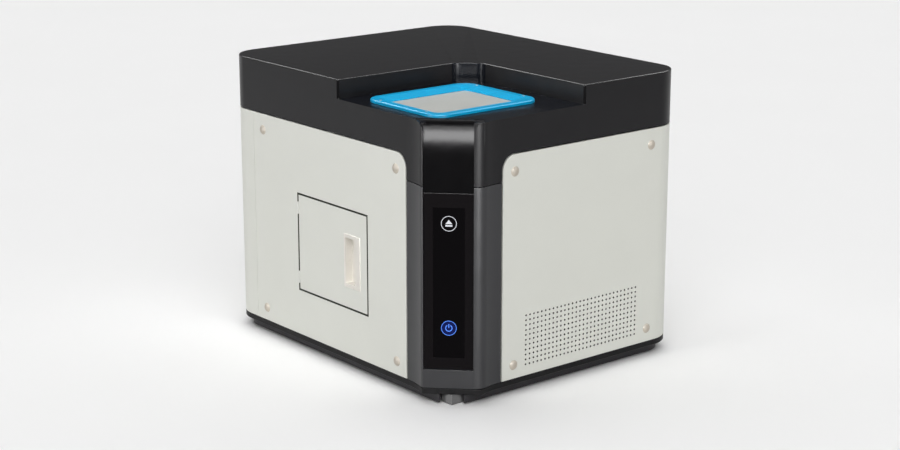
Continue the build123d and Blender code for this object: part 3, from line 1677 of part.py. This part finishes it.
# ---------------------------------------------------------------- every node by its name
NODES = {
    "base_tray": base_tray,
    "base_rails": base_rails,
    "foot_pads": foot_pads,
    "chassis_frame": lambda: group(chassis_uprights(), chassis_top_ring()),
    "top_cover": top_cover,
    "corner_column": corner_column,
    "touch_glass": touch_glass,
    "display_module": display_module,
    "left_panel": left_panel,
    "front_panel": front_panel,
    "right_panel": right_panel,
    "rear_shell": rear_shell,
    "panel_fasteners": panel_fasteners,
    "vent_filter": vent_filter,
    "side_door": side_door,
    "door_pull": door_pull,
    "door_hinge_fixed": lambda: hinge_pieces(False),
    "door_hinge_moving": lambda: hinge_pieces(True),
    "door_magnet": door_magnet,
    "bottle_bay": bottle_bay,
    "fluid_bottles": lambda: group(*[bottle(y) for y in bottle_places_y]),
    "bottle_caps": bottle_caps,
    "deck_frame": deck_frame,
    "deck_frame_screws": deck_frame_screws,
    "shutter": shutter,
    "shutter_rails": shutter_rails,
    "shutter_roller": shutter_roller,
    "gear_motors": lambda: group(shutter_motor(), stage_y_motor()),
    "stage_table": stage_table,
    "stage_y_guides": stage_y_guides,
    "stage_y_screw": stage_y_screw,
    "y_carriage": y_carriage,
    "stage_x_guides": stage_x_guides,
    "stage_x_screw": stage_x_screw,
    "stage_x_motor": stage_x_motor,
    "plate_nest": plate_nest,
    "probe_column": probe_column,
    "probe_slide": probe_slide,
    "probe_needle": probe_needle,
    "optical_bench": optical_bench,
    "bench_isolators": bench_isolators,
    "laser_modules": laser_modules,
    "beam_mirrors": beam_mirrors,
    "flow_cell_block": flow_cell_block,
    "flow_cell": flow_cell,
    "objective": objective,
    "filter_cube": filter_cube,
    "detector_camera": detector_camera,
    "syringe_pump_body": syringe_pump_body,
    "syringe_pump_screw": syringe_pump_screw,
    "syringe_barrel": syringe_barrel,
    "syringe_plunger": syringe_plunger,
    "valve_manifold": valve_manifold,
    "main_board": main_board,
    "power_supply": power_supply,
    "fan_frame": fan_frame,
    "fan_rotor": fan_rotor,
    "rear_ports": lambda: group(power_inlet(), switch_frame(), data_ports()),
    "switch_rocker": switch_rocker,
    "fluid_couplings": fluid_couplings,
}

for name, make in NODES.items():
    export_step(make(), f"parts/{name}.step")
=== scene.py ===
"""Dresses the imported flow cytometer: finishes, softened edges, printed icons, light and camera."""
import json
import math

import bmesh
import bpy
from mathutils import Matrix, Vector

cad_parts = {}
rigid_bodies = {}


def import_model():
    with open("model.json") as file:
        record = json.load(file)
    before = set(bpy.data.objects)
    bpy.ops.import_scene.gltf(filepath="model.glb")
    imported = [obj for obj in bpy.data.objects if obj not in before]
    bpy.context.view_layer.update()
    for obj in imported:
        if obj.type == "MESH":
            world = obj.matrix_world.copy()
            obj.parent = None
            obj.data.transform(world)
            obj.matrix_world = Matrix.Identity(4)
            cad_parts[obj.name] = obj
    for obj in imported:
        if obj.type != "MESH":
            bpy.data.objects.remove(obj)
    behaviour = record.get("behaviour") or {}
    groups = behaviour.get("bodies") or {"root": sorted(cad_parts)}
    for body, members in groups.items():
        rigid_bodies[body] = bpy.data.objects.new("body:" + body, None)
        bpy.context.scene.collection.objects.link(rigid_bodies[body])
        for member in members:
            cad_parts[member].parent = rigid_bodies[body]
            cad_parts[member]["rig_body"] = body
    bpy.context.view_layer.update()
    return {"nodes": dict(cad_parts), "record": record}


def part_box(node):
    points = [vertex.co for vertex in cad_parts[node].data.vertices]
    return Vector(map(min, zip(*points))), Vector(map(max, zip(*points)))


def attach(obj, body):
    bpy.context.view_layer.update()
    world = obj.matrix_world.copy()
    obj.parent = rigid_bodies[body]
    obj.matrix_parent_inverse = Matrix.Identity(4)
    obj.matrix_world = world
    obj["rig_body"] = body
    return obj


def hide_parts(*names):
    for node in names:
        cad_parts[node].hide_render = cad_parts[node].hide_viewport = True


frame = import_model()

MM = 0.001


# ---------------------------------------------------------------- node helpers
def srgb(red, green, blue):
    """A display colour from 0 to 255 as the shader's linear one."""
    def linear(value):
        value /= 255
        return value / 12.92 if value <= 0.04045 else ((value + 0.055) / 1.055) ** 2.4

    return linear(red), linear(green), linear(blue), 1.0


class Finish:
    """A material built round one Principled shader, in the piece's own metres."""

    def __init__(self, name, colour, roughness, **sockets):
        self.material = bpy.data.materials.new(name)
        self.material.use_nodes = True
        self.tree = self.material.node_tree
        self.shader = self.tree.nodes["Principled BSDF"]
        self.colour = colour
        self.shader.inputs["Base Color"].default_value = colour
        self.shader.inputs["Roughness"].default_value = roughness
        for socket, value in sockets.items():
            self.shader.inputs[socket.replace("_", " ")].default_value = value
        self.coords = self.add("ShaderNodeTexCoord").outputs["Object"]
        self.last_normal = None

    def add(self, kind, **settings):
        node = self.tree.nodes.new(kind)
        for key, value in settings.items():
            setattr(node, key, value)
        return node

    def link(self, source, target):
        self.tree.links.new(source, target)

    def stretched(self, x, y, z):
        """The piece's coordinates with each axis scaled."""
        mapping = self.add("ShaderNodeMapping")
        mapping.inputs["Scale"].default_value = (x, y, z)
        self.link(self.coords, mapping.inputs["Vector"])
        return mapping.outputs["Vector"]

    def noise(self, size, detail=2.0, coords=None):
        """Noise whose blobs are about size metres across."""
        node = self.add("ShaderNodeTexNoise")
        node.inputs["Scale"].default_value = 1.0 / size
        node.inputs["Detail"].default_value = detail
        self.link(coords or self.coords, node.inputs["Vector"])
        return node.outputs["Fac"]

    def remap(self, source, low, high, start=0.3, end=0.7):
        """A value that goes from low to high as the source goes from start to end."""
        node = self.add("ShaderNodeMapRange")
        for name, value in (("From Min", start), ("From Max", end), ("To Min", low), ("To Max", high)):
            node.inputs[name].default_value = value
        self.link(source, node.inputs["Value"])
        return node.outputs["Result"]

    def math(self, operation, first, second=None):
        node = self.add("ShaderNodeMath", operation=operation)
        for index, value in enumerate((first, second)):
            if value is None:
                continue
            if isinstance(value, (int, float)):
                node.inputs[index].default_value = value
            else:
                self.link(value, node.inputs[index])
        return node.outputs[0]

    def along(self, direction):
        """Metres of the surface point along a direction."""
        node = self.add("ShaderNodeVectorMath", operation="DOT_PRODUCT")
        self.link(self.coords, node.inputs[0])
        node.inputs[1].default_value = direction
        return node.outputs["Value"]

    def mix(self, factor, first, second):
        """A colour from first at 0 to second at 1."""
        node = self.add("ShaderNodeMix", data_type="RGBA")
        self.link(factor, node.inputs[0])
        for socket, value in ((node.inputs[6], first), (node.inputs[7], second)):
            if isinstance(value, tuple):
                socket.default_value = value
            else:
                self.link(value, socket)
        return node.outputs[2]

    def mottle(self, size, amount):
        """Colour that drifts by a small share over size metres."""
        dark = tuple(c * (1.0 - amount) for c in self.colour[:3]) + (1.0,)
        pale = tuple(min(1.0, c * (1.0 + amount)) for c in self.colour[:3]) + (1.0,)
        factor = self.remap(self.noise(size, 3.0), 0.0, 1.0)
        self.link(self.mix(factor, dark, pale), self.shader.inputs["Base Color"])

    def uneven_gloss(self, size, low, high):
        """Roughness that drifts between two values over size metres."""
        self.link(self.remap(self.noise(size, 3.0), low, high), self.shader.inputs["Roughness"])

    def bump(self, height, depth):
        """Relief of depth metres from a height of 0 to 1, on top of what is there."""
        node = self.add("ShaderNodeBump")
        node.inputs["Distance"].default_value = depth
        self.link(height, node.inputs["Height"])
        if self.last_normal is not None:
            self.link(self.last_normal, node.inputs["Normal"])
        self.link(node.outputs["Normal"], self.shader.inputs["Normal"])
        self.last_normal = node.outputs["Normal"]


# ------------------------------------------------------------------- finishes
def powder_coat(name, colour, roughness, grain=0.7 * MM, depth=0.012 * MM, mottle=0.02, **sockets):
    """Sprayed paint: slight orange peel, gloss that drifts, a trace of shade."""
    look = Finish(name, colour, roughness, **sockets)
    look.mottle(60 * MM, mottle)
    look.uneven_gloss(25 * MM, roughness - 0.015, roughness + 0.02)
    look.bump(look.noise(grain, 2.0), depth)
    look.bump(look.noise(5 * MM, 1.0), depth * 0.7)
    return look


def moulded(name, colour, roughness, grain=0.5 * MM, depth=0.01 * MM, **sockets):
    """Moulded plastic with a spark-eroded grain."""
    look = Finish(name, colour, roughness, **sockets)
    look.mottle(40 * MM, 0.03)
    look.uneven_gloss(12 * MM, roughness - 0.05, roughness + 0.06)
    look.bump(look.noise(grain, 3.0), depth)
    return look


def metal(name, colour, roughness, brushed=(1.0, 1.0, 30.0), depth=0.003 * MM, **sockets):
    """Bare metal with a brushed or turned grain along one axis."""
    look = Finish(name, colour, roughness, Metallic=1.0, **sockets)
    grain = look.noise(20 * MM, 4.0, look.stretched(*brushed))
    look.mottle(30 * MM, 0.05)
    look.link(look.remap(grain, roughness - 0.06, roughness + 0.1), look.shader.inputs["Roughness"])
    look.bump(grain, depth)
    return look


finishes = {}
finishes["panel_grey"] = powder_coat("panel paint", srgb(216, 217, 209), 0.46, mottle=0.008)
finishes["pull_white"] = moulded("pull plastic", srgb(232, 228, 220), 0.32, Specular_IOR_Level=0.3)
finishes["fastener_beige"] = moulded("fastener cap", srgb(190, 181, 168), 0.5, Specular_IOR_Level=0.15)
finishes["column_grey"] = powder_coat("column paint", srgb(43, 43, 46), 0.31, Specular_IOR_Level=0.33)
finishes["blue_frame"] = powder_coat("blue anodising", srgb(0, 170, 222), 0.3, depth=0.0,
                                    Specular_IOR_Level=0.1)
finishes["shutter_grey"] = powder_coat("shutter coat", srgb(184, 185, 180), 0.42)
finishes["black_base"] = moulded("tray black", srgb(16, 15, 17), 0.40, Specular_IOR_Level=0.1)
finishes["rail_grey"] = moulded("rail black", srgb(36, 34, 38), 0.35, Specular_IOR_Level=0.25)
finishes["rubber"] = moulded("foot rubber", srgb(26, 26, 27), 0.7, grain=0.9 * MM, depth=0.03 * MM)
finishes["frame_steel"] = metal("zinc sheet", srgb(150, 151, 153), 0.42)
finishes["display"] = moulded("display module", srgb(30, 34, 38), 0.4)
finishes["filter_foam"] = moulded("dust filter", srgb(20, 20, 21), 0.9, grain=1.1 * MM, depth=0.5 * MM)
finishes["hinge_steel"] = powder_coat("hinge paint", srgb(214, 213, 208), 0.36)
finishes["black_plastic"] = moulded("black plastic", srgb(27, 27, 29), 0.45)
finishes["bay_plastic"] = moulded("bay liner", srgb(58, 58, 51), 0.5, Specular_IOR_Level=0.2)
finishes["bottle_plastic"] = moulded("bottle", srgb(222, 225, 223), 0.38, depth=0.003 * MM,
                                     Specular_IOR_Level=0.3)
finishes["cap_blue"] = moulded("bottle cap", srgb(38, 112, 176), 0.35)
finishes["bright_steel"] = metal("ground steel", srgb(205, 206, 208), 0.2)
finishes["anodised"] = metal("clear anodising", srgb(186, 188, 190), 0.34)
finishes["motor_steel"] = metal("motor case", srgb(120, 121, 124), 0.33)
finishes["nest_black"] = powder_coat("nest anodising", srgb(40, 40, 43), 0.4, Metallic=0.6)
finishes["bench_black"] = powder_coat("bench anodising", srgb(44, 44, 48), 0.42, Metallic=0.6)
finishes["mirror"] = metal("mirror coat", srgb(232, 234, 236), 0.08)
finishes["clear_glass"] = moulded("clear glass", srgb(235, 240, 241), 0.04, depth=0.0005 * MM,
                                  Transmission_Weight=0.9, IOR=1.46)
finishes["lens_black"] = powder_coat("lens barrel", srgb(30, 30, 32), 0.3)
finishes["camera_red"] = powder_coat("camera case", srgb(96, 98, 104), 0.38)
finishes["clear_acrylic"] = moulded("valve block", srgb(214, 219, 222), 0.16, depth=0.001 * MM,
                                    Transmission_Weight=0.5, IOR=1.49)
finishes["board_green"] = moulded("board resist", srgb(24, 92, 52), 0.35)
finishes["supply_steel"] = metal("supply case", srgb(168, 169, 171), 0.4)
finishes["rocker_black"] = moulded("rocker", srgb(22, 22, 24), 0.25)
finishes["brass"] = metal("plated coupling", srgb(196, 197, 199), 0.24)


def lower(node):
    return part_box(node)[0]


def upper(node):
    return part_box(node)[1]


diagonal_right = Vector((1, -1, 0)).normalized()
diagonal_out = Vector((-1, -1, 0)).normalized()
body_left, body_front = lower("rear_shell").x, lower("front_panel").y
deck_z = lower("deck_frame").z
cover_top = upper("top_cover").z


def reach(node, direction):
    """Lowest and highest distance of a node's points along a direction."""
    spots = [v.co.dot(direction) for v in frame["nodes"][node].data.vertices]
    return min(spots), max(spots)


glass_middle = sum(reach("touch_glass", diagonal_right)) / 2
glass_front = reach("touch_glass", diagonal_out)[1]
recess_width, recess_depth = 252.4 * MM, 258 * MM
channel_width, channel_depth = 73 * MM, 26 * MM
OUTSIDE, RECESS, CHANNEL, DECK, EDGE_HIGHLIGHT = range(5)


def cover_zone(centre, normal):
    """Which of the cover's finishes a face has."""
    edge, facing = 1 * MM, 0.9
    chamfer, channel_margin, channel_top, recess_drop = 4 * MM, 0.25 * MM, 0.2 * MM, 3 * MM
    at_recess_end = centre.x < body_left + chamfer or centre.y < body_front + chamfer
    if at_recess_end and centre.z > deck_z + edge and normal.dot(diagonal_out) > facing:
        return CHANNEL
    if normal.z > facing and abs(centre.z - deck_z) < edge:
        return DECK
    off_middle = abs(centre.dot(diagonal_right) - glass_middle)
    near_corner = centre.dot(diagonal_out) > glass_front - channel_depth
    if near_corner and off_middle < channel_width / 2 - channel_margin and centre.z < deck_z - channel_top:
        return CHANNEL
    across_recess = body_left + edge < centre.x < body_left + recess_width
    along_recess = body_front + edge < centre.y < body_front + recess_depth
    if across_recess and along_recess and deck_z - recess_drop < centre.z < cover_top - edge:
        return RECESS
    return OUTSIDE


cover_looks = [
    powder_coat("cover paint", srgb(19, 18, 21), 0.32, mottle=0.02, Specular_IOR_Level=0.17),
    # dark cover paint in the recess, with a blue tint that is a painted reflection of the blue deck frame
    powder_coat("recess paint with painted frame reflection", srgb(19, 21, 27), 0.22, mottle=0.02, Specular_IOR_Level=0.06),
    powder_coat("channel paint", srgb(4, 3, 5), 0.24, mottle=0.02, Specular_IOR_Level=0.055),
    powder_coat("deck paint", srgb(18, 18, 21), 0.3, mottle=0.02, Specular_IOR_Level=0.12),
    # painted highlight: the cover's bevels get a lighter paint that stands in for the light line their
    # edges catch
    powder_coat("cover edge painted highlight", srgb(34, 33, 37), 0.3, mottle=0.02, Specular_IOR_Level=0.5),
]
finishes["charcoal_cover"] = cover_looks[OUTSIDE]


def glass_finish():
    """Black printed glass, blacker in the display's window than on its border."""
    look = Finish("touch glass", srgb(24, 23, 26), 0.08, Specular_IOR_Level=0.06)
    across = look.along(tuple(diagonal_right))
    height = look.along((0, 0, 1))
    low, high = lower("touch_glass").z, upper("touch_glass").z
    window_width, window_bottom, window_top = 46 * MM, low + 16.4 * MM, high - 20.7 * MM
    edge = 0.4 * MM
    off_middle = look.math("ABSOLUTE", look.math("SUBTRACT", across, glass_middle))
    sides = look.remap(off_middle, 1.0, 0.0, window_width / 2 - edge, window_width / 2)
    floor = look.remap(height, 0.0, 1.0, window_bottom, window_bottom + edge)
    ceiling = look.remap(height, 1.0, 0.0, window_top - edge, window_top)
    window = look.math("MULTIPLY", look.math("MULTIPLY", sides, floor), ceiling)
    speck = look.remap(look.noise(0.25 * MM, 1.0), 0.0, 0.15)
    border = look.mix(speck, srgb(19, 16, 18), srgb(24, 20, 23))
    look.link(look.mix(window, border, srgb(3, 1, 3)), look.shader.inputs["Base Color"])
    look.uneven_gloss(30 * MM, 0.07, 0.11)
    return look


finishes["black_glass"] = glass_finish()


# ---------------------------------------------------------------------- pieces
def round_lips(bm):
    """Eases the nose's two upright edges: each small drawn arc becomes a wider one that meets the flank."""
    drawn_reach, side_tolerance, arc_end = 0.75 * MM, 0.8 * MM, 0.12
    nose_tip, nose_flare = 54.6 * MM, 6.2 * MM
    left_corner = Vector((body_left - nose_flare, body_front + nose_tip))
    right_corner = Vector((body_left + nose_tip, body_front - nose_flare))
    across = diagonal_right.xy.normalized()
    lips = (
        (left_corner, across, Vector((0.272, 0.962)), 1.9 * MM, 4.2 * MM),
        (right_corner, -across, Vector((0.968, 0.252)), 12.0 * MM, 12.44 * MM),
    )
    for corner, front, flank, front_reach, flank_reach in lips:
        inward = (front - flank * front.dot(flank)).normalized()
        run = flank_reach - front_reach * front.dot(flank)
        drop = front_reach * front.dot(inward)
        radius = (run ** 2 + drop ** 2) / (2 * drop)
        sweep = math.atan2(run / radius, 1 - drop / radius)
        for vertex in bm.verts:
            offset = vertex.co.xy - corner
            distance = offset.dot(flank)
            if offset.length < drawn_reach:
                on_front = math.sqrt(max(0.0, offset.cross(flank) / front.cross(flank)))
                on_flank = math.sqrt(max(0.0, front.cross(offset) / front.cross(flank)))
                turn = sweep * (arc_end + (1 - arc_end) * on_front / (on_front + on_flank))
            elif 0 < distance < flank_reach - drawn_reach and abs(offset.cross(flank)) < side_tolerance:
                turn = sweep * arc_end / 2
            else:
                continue
            vertex.co.xy = (corner + flank * (flank_reach - radius * math.sin(turn))
                            + inward * radius * (1 - math.cos(turn)))


def raise_heads(bm):
    """Brings the frame screws' heads flush with the rim that they sit in."""
    heads, rim = upper("deck_frame_screws").z, upper("deck_frame").z
    head_tolerance, head_lift = 0.05 * MM, 0.15 * MM
    for vertex in bm.verts:
        if vertex.co.z > heads - head_tolerance:
            vertex.co.z = rim + head_lift


def round_recess(bm):
    """Eases the two upright bends of the recess's slanted corner: their arcs grow about the corner."""
    cut, drawn_reach, below_deck, growth = 27.5 * MM, 5.2 * MM, 1 * MM, 1.8
    inner = Vector((body_left + recess_width, body_front + recess_depth))
    for corner in (inner - Vector((0, cut)), inner - Vector((cut, 0))):
        for vertex in bm.verts:
            offset = vertex.co.xy - corner
            if offset.length < drawn_reach and vertex.co.z > deck_z - below_deck:
                vertex.co.xy = corner + offset * growth


filter_low, filter_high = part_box("vent_filter")


def in_air_field(point):
    """True over the perforated field of the front panel, whose holes keep their crisp edges."""
    panel_depth = 10 * MM
    across = filter_low.x < point.x < filter_high.x
    along = filter_low.z < point.z < filter_high.z
    return across and along and abs(point.y - filter_low.y) < panel_depth


door_low, door_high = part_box("side_door")


def door_gap_shade_zone(centre, normal):
    """1 on the walls of the gap round the door, which get a dark painted shade instead of the panel paint.
    """
    def within(margin):
        beside = door_low.y - margin < centre.y < door_high.y + margin
        return beside and door_low.z - margin < centre.z < door_high.z + margin

    gap_reach = 4 * MM
    return 1 if within(gap_reach) and not within(-gap_reach) and abs(normal.x) < 0.5 else 0


def air_hole_shade_zone(centre, normal):
    """1 on the walls of the air holes, which get a dark painted shade instead of the panel paint."""
    return 1 if in_air_field(centre) and abs(normal.y) < 0.5 else 0


def new_piece(name, bm, looks):
    """An object of a finished bmesh and its finishes."""
    mesh = bpy.data.meshes.new(name)
    bm.to_mesh(mesh)
    bm.free()
    for look in looks:
        mesh.materials.append(look.material)
    piece = bpy.data.objects.new(name, mesh)
    bpy.context.scene.collection.objects.link(piece)
    return piece


def dress(node, width, looks, zone):
    """A copy of a CAD node with softened edges and its finishes, riding on the node's body."""
    same_point, same_plane, crease = 0.002 * MM, math.radians(0.4), math.radians(32)
    source = frame["nodes"][node]
    bm = bmesh.new()
    for vertex in source.data.vertices:
        bm.verts.new(vertex.co)
    bm.verts.ensure_lookup_table()
    for polygon in source.data.polygons:
        corners = [bm.verts[i] for i in polygon.vertices]
        if bm.faces.get(corners) is None:
            bm.faces.new(corners)
    for reshape in reshapes.get(node, ()):
        reshape(bm)
    bmesh.ops.remove_doubles(bm, verts=bm.verts, dist=same_point)
    bmesh.ops.dissolve_limit(bm, angle_limit=same_plane, verts=bm.verts, edges=bm.edges)
    bmesh.ops.recalc_face_normals(bm, faces=bm.faces)
    for face in bm.faces:
        face.smooth = True
        face.material_index = zone(face.calc_center_median(), face.normal) if zone else 0
    softness = bm.edges.layers.float.new("bevel_weight_edge")
    for edge in bm.edges:
        edge.smooth = len(edge.link_faces) == 2 and edge.calc_face_angle() < crease
        middle = (edge.verts[0].co + edge.verts[1].co) / 2
        edge[softness] = 0.0 if edge.smooth or in_air_field(middle) else 1.0
    piece = new_piece(node + "_dressed", bm, looks)
    bevel = piece.modifiers.new("soft edges", "BEVEL")
    bevel.width = width
    bevel.segments = 2
    bevel.limit_method = "WEIGHT"
    bevel.harden_normals = node not in plain_bevels
    if node == "top_cover":
        # the bevel faces take the cover's painted edge highlight
        bevel.material = EDGE_HIGHLIGHT
    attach(piece, source["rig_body"])
    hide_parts(node)


slots = {part["node"]: part["material_slot"] for part in frame["record"]["subparts"]}
edge_widths = {  # millimetres
    "top_cover": 0.9, "corner_column": 0.6, "touch_glass": 0.3, "left_panel": 0.5, "right_panel": 0.5,
    "rear_shell": 0.5, "front_panel": 0.5, "side_door": 0.5, "door_pull": 0.5, "base_tray": 0.5,
    "base_rails": 0.4, "foot_pads": 0.8, "panel_fasteners": 0.2, "shutter": 0.3,
    "door_hinge_fixed": 0.2, "door_hinge_moving": 0.2, "deck_frame_screws": 0.5, "bottle_bay": 0.4,
    "fluid_bottles": 0.6, "bottle_caps": 0.4, "rear_ports": 0.3, "switch_rocker": 0.4,
    "fluid_couplings": 0.3, "fan_frame": 0.4, "plate_nest": 0.3,
}
# painted shade: the walls of the air holes are painted dark to stand in for the shade inside the holes
hole_painted_shade = moulded("air hole painted shade", srgb(46, 46, 42), 0.7, Specular_IOR_Level=0.1)
# painted shade: the walls of the gap round the door are painted dark olive to stand in for the shade inside
# the gap
gap_painted_shade = moulded("door gap painted shade", srgb(70, 70, 60), 0.7, Specular_IOR_Level=0.1)
zoned = {
    "left_panel": ([finishes["panel_grey"], gap_painted_shade], door_gap_shade_zone),
    "side_door": ([finishes["panel_grey"], gap_painted_shade], door_gap_shade_zone),
    "top_cover": (cover_looks, cover_zone),
    "front_panel": ([finishes["panel_grey"], hole_painted_shade], air_hole_shade_zone),
}
own_looks = {
    "deck_frame_screws": moulded("frame screw", srgb(225, 232, 236), 0.25, Specular_IOR_Level=0.8),
}
plain_bevels = {"door_pull"}
reshapes = {
    "top_cover": (round_lips, round_recess),
    "corner_column": (round_lips,),
    "deck_frame_screws": (raise_heads,),
}
for name, source in frame["nodes"].items():
    plain = [own_looks.get(name, finishes[slots[name]])], None
    if name in edge_widths:
        dress(name, edge_widths[name] * MM, *zoned.get(name, plain))
    else:
        source.data.materials.clear()
        source.data.materials.append(finishes[slots[name]].material)


# ------------------------------------------------------------------ glass icons
def printed(name, loops, z, look, lift=0.06 * MM):
    """Thin print just off the glass: closed outlines in millimetres round (middle, z), odd ones cut out."""
    centre = diagonal_right * glass_middle + diagonal_out * (glass_front + lift) + Vector((0, 0, z))
    bm = bmesh.new()
    edges = []
    for loop in loops:
        ring = [bm.verts.new(centre + diagonal_right * (x * MM) + Vector((0, 0, y * MM))) for x, y in loop]
        edges += [bm.edges.new((ring[i - 1], ring[i])) for i in range(len(ring))]
    bmesh.ops.triangle_fill(bm, use_beauty=True, use_dissolve=False, edges=edges)
    for face in bm.faces:
        face.normal_update()
        if face.normal.dot(diagonal_out) < 0:
            face.normal_flip()
    piece = new_piece(name, bm, [look])
    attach(piece, frame["nodes"]["touch_glass"]["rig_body"])


def circle(radius, start=0.0, sweep=360.0, steps=72):
    """Points of a whole circle, or of an arc with both its ends."""
    turns = [math.radians(start + sweep * i / steps) for i in range(steps + (sweep < 360))]
    return [(radius * math.cos(t), radius * math.sin(t)) for t in turns]


def arc_band(outer, inner, start, sweep):
    return circle(outer, start, sweep, 48) + circle(inner, start, sweep, 48)[::-1]


def icon_finish(name, colour, strength):
    look = Finish(name, colour, 0.3, Emission_Color=colour, Emission_Strength=strength,
                  Specular_IOR_Level=0.05)
    look.uneven_gloss(2 * MM, 0.25, 0.35)
    return look


icon_white = icon_finish("icon white", srgb(206, 208, 214), 0.35)
icon_blue = icon_finish("icon blue", srgb(80, 130, 232), 0.6)
glow_blue = icon_finish("icon glow", srgb(9, 20, 78), 0.22)
eject_z, power_z = 268.5 * MM, 114.5 * MM
ring_radius, ring_line, glow_gap = 11.1, 0.85, 0.2
on_glow = 0.1 * MM
ring = [circle(ring_radius), circle(ring_radius - ring_line)]
glow = [circle(ring_radius - ring_line - glow_gap)]
triangle = [[(-5.0, -0.6), (5.0, -0.6), (0.0, 5.6)]]
bar = [[(-5.0, -4.2), (5.0, -4.2), (5.0, -1.9), (-5.0, -1.9)]]
stem = [[(-0.65, 0.4), (0.65, 0.4), (0.65, 6.2), (-0.65, 6.2)]]
printed("eject_ring", ring, eject_z, icon_white)
printed("eject_triangle", triangle, eject_z, icon_white)
printed("eject_bar", bar, eject_z, icon_white)
printed("power_glow", glow, power_z, glow_blue)
printed("power_ring", ring, power_z, icon_blue)
printed("power_arc", [arc_band(5.2, 3.9, 118.0, 304.0)], power_z, icon_blue, on_glow)
printed("power_stem", stem, power_z, icon_blue, on_glow)


# ------------------------------------------------------------- floor and light
def lay_floor(half_width=30.0):
    """Pale matt floor that meets the background without an edge."""
    look = Finish("studio floor", srgb(243, 243, 243), 0.9, Specular_IOR_Level=0.0)
    look.mottle(400 * MM, 0.004)
    bm = bmesh.new()
    bm.faces.new([bm.verts.new((x * half_width, y * half_width, 0)) for x, y in
                  ((-1, -1), (1, -1), (1, 1), (-1, 1))])
    new_piece("floor", bm, [look])


lay_floor()


def direction(azimuth, elevation):
    """Unit vector towards a compass angle from +X and a height above the floor, in degrees."""
    turn, rise = math.radians(azimuth), math.radians(elevation)
    return Vector((math.cos(turn) * math.cos(rise), math.sin(turn) * math.cos(rise), math.sin(rise)))


def aim(item, towards):
    """Turns a lamp to shine along a direction and puts it in the scene."""
    item.rotation_euler = towards.to_track_quat("-Z", "Y").to_euler()
    bpy.context.scene.collection.objects.link(item)


def sky_light(name, azimuth, elevation, spread, strength):
    """Wide even light from far away, so that the floor has no bright patch."""
    data = bpy.data.lights.new(name, "SUN")
    data.angle = math.radians(spread)
    data.energy = strength
    aim(bpy.data.objects.new(name, data), -direction(azimuth, elevation))


def gloss_card(name, azimuth, bottom, top, width, radiance, distance=3.2):
    """Upright softbox that only glossy surfaces see, to draw highlights without more light."""
    data = bpy.data.lights.new(name, "AREA")
    data.shape = "RECTANGLE"
    data.size, data.size_y = width, top - bottom
    data.energy = radiance * math.pi * data.size * data.size_y
    item = bpy.data.objects.new(name, data)
    away = direction(azimuth, 0)
    item.location = away * distance + Vector((0, 0, (bottom + top) / 2))
    item.visible_camera = False
    item.visible_diffuse = False
    item.visible_transmission = False
    aim(item, -away)


world = bpy.data.worlds.new("studio")
bpy.context.scene.world = world
world.use_nodes = True
ambient = world.node_tree.nodes["Background"]
ambient.inputs["Color"].default_value = (1, 1, 1, 1)
ambient.inputs["Strength"].default_value = 0.136

# azimuth, elevation, spread in degrees; strength
sky_light("key", 233, 42, 55, 1.42)
sky_light("fill", 225, 20, 60, 0.3)
sky_light("top left", 104, 60, 50, 1.05)
sky_light("top right", 8, 60, 50, 0.74)
# azimuth in degrees; bottom, top, width in metres; radiance
gloss_card("left card", 170, 0.05, 2.0, 1.0, 60)
gloss_card("right card", 257, 0.05, 2.0, 1.2, 44)
gloss_card("front card", 225, 1.1, 2.9, 2.2, 72)
gloss_card("upper card", 225, 2.9, 5.5, 2.2, 22)
gloss_card("left rim card", 111, 2.4, 4.6, 2.6, 22)
gloss_card("right rim card", 339, 2.4, 4.6, 2.6, 22)

# ---------------------------------------------------------------------- camera
PHOTO_WIDTH = 900
yaw, pitch, roll = 0.6857, 0.2627, 0.0003
focal_pixels = 1905.7
camera_place = Vector((-1.8396, -2.2471, 0.9613))
forward = Vector((math.sin(yaw) * math.cos(pitch), math.cos(yaw) * math.cos(pitch), -math.sin(pitch)))
level_right = Vector((math.cos(yaw), -math.sin(yaw), 0.0))
level_up = level_right.cross(forward)
right = level_right * math.cos(roll) + level_up * math.sin(roll)
up = level_up * math.cos(roll) - level_right * math.sin(roll)
camera_data = bpy.data.cameras.new("camera")
camera_data.sensor_width = 36.0
camera_data.lens = camera_data.sensor_width * focal_pixels / PHOTO_WIDTH
camera = bpy.data.objects.new("camera", camera_data)
camera.matrix_world = Matrix.Translation(camera_place) @ Matrix((right, up, -forward)).transposed().to_4x4()
bpy.context.scene.collection.objects.link(camera)
bpy.context.scene.camera = camera
bpy.context.scene.view_settings.view_transform = "Standard"
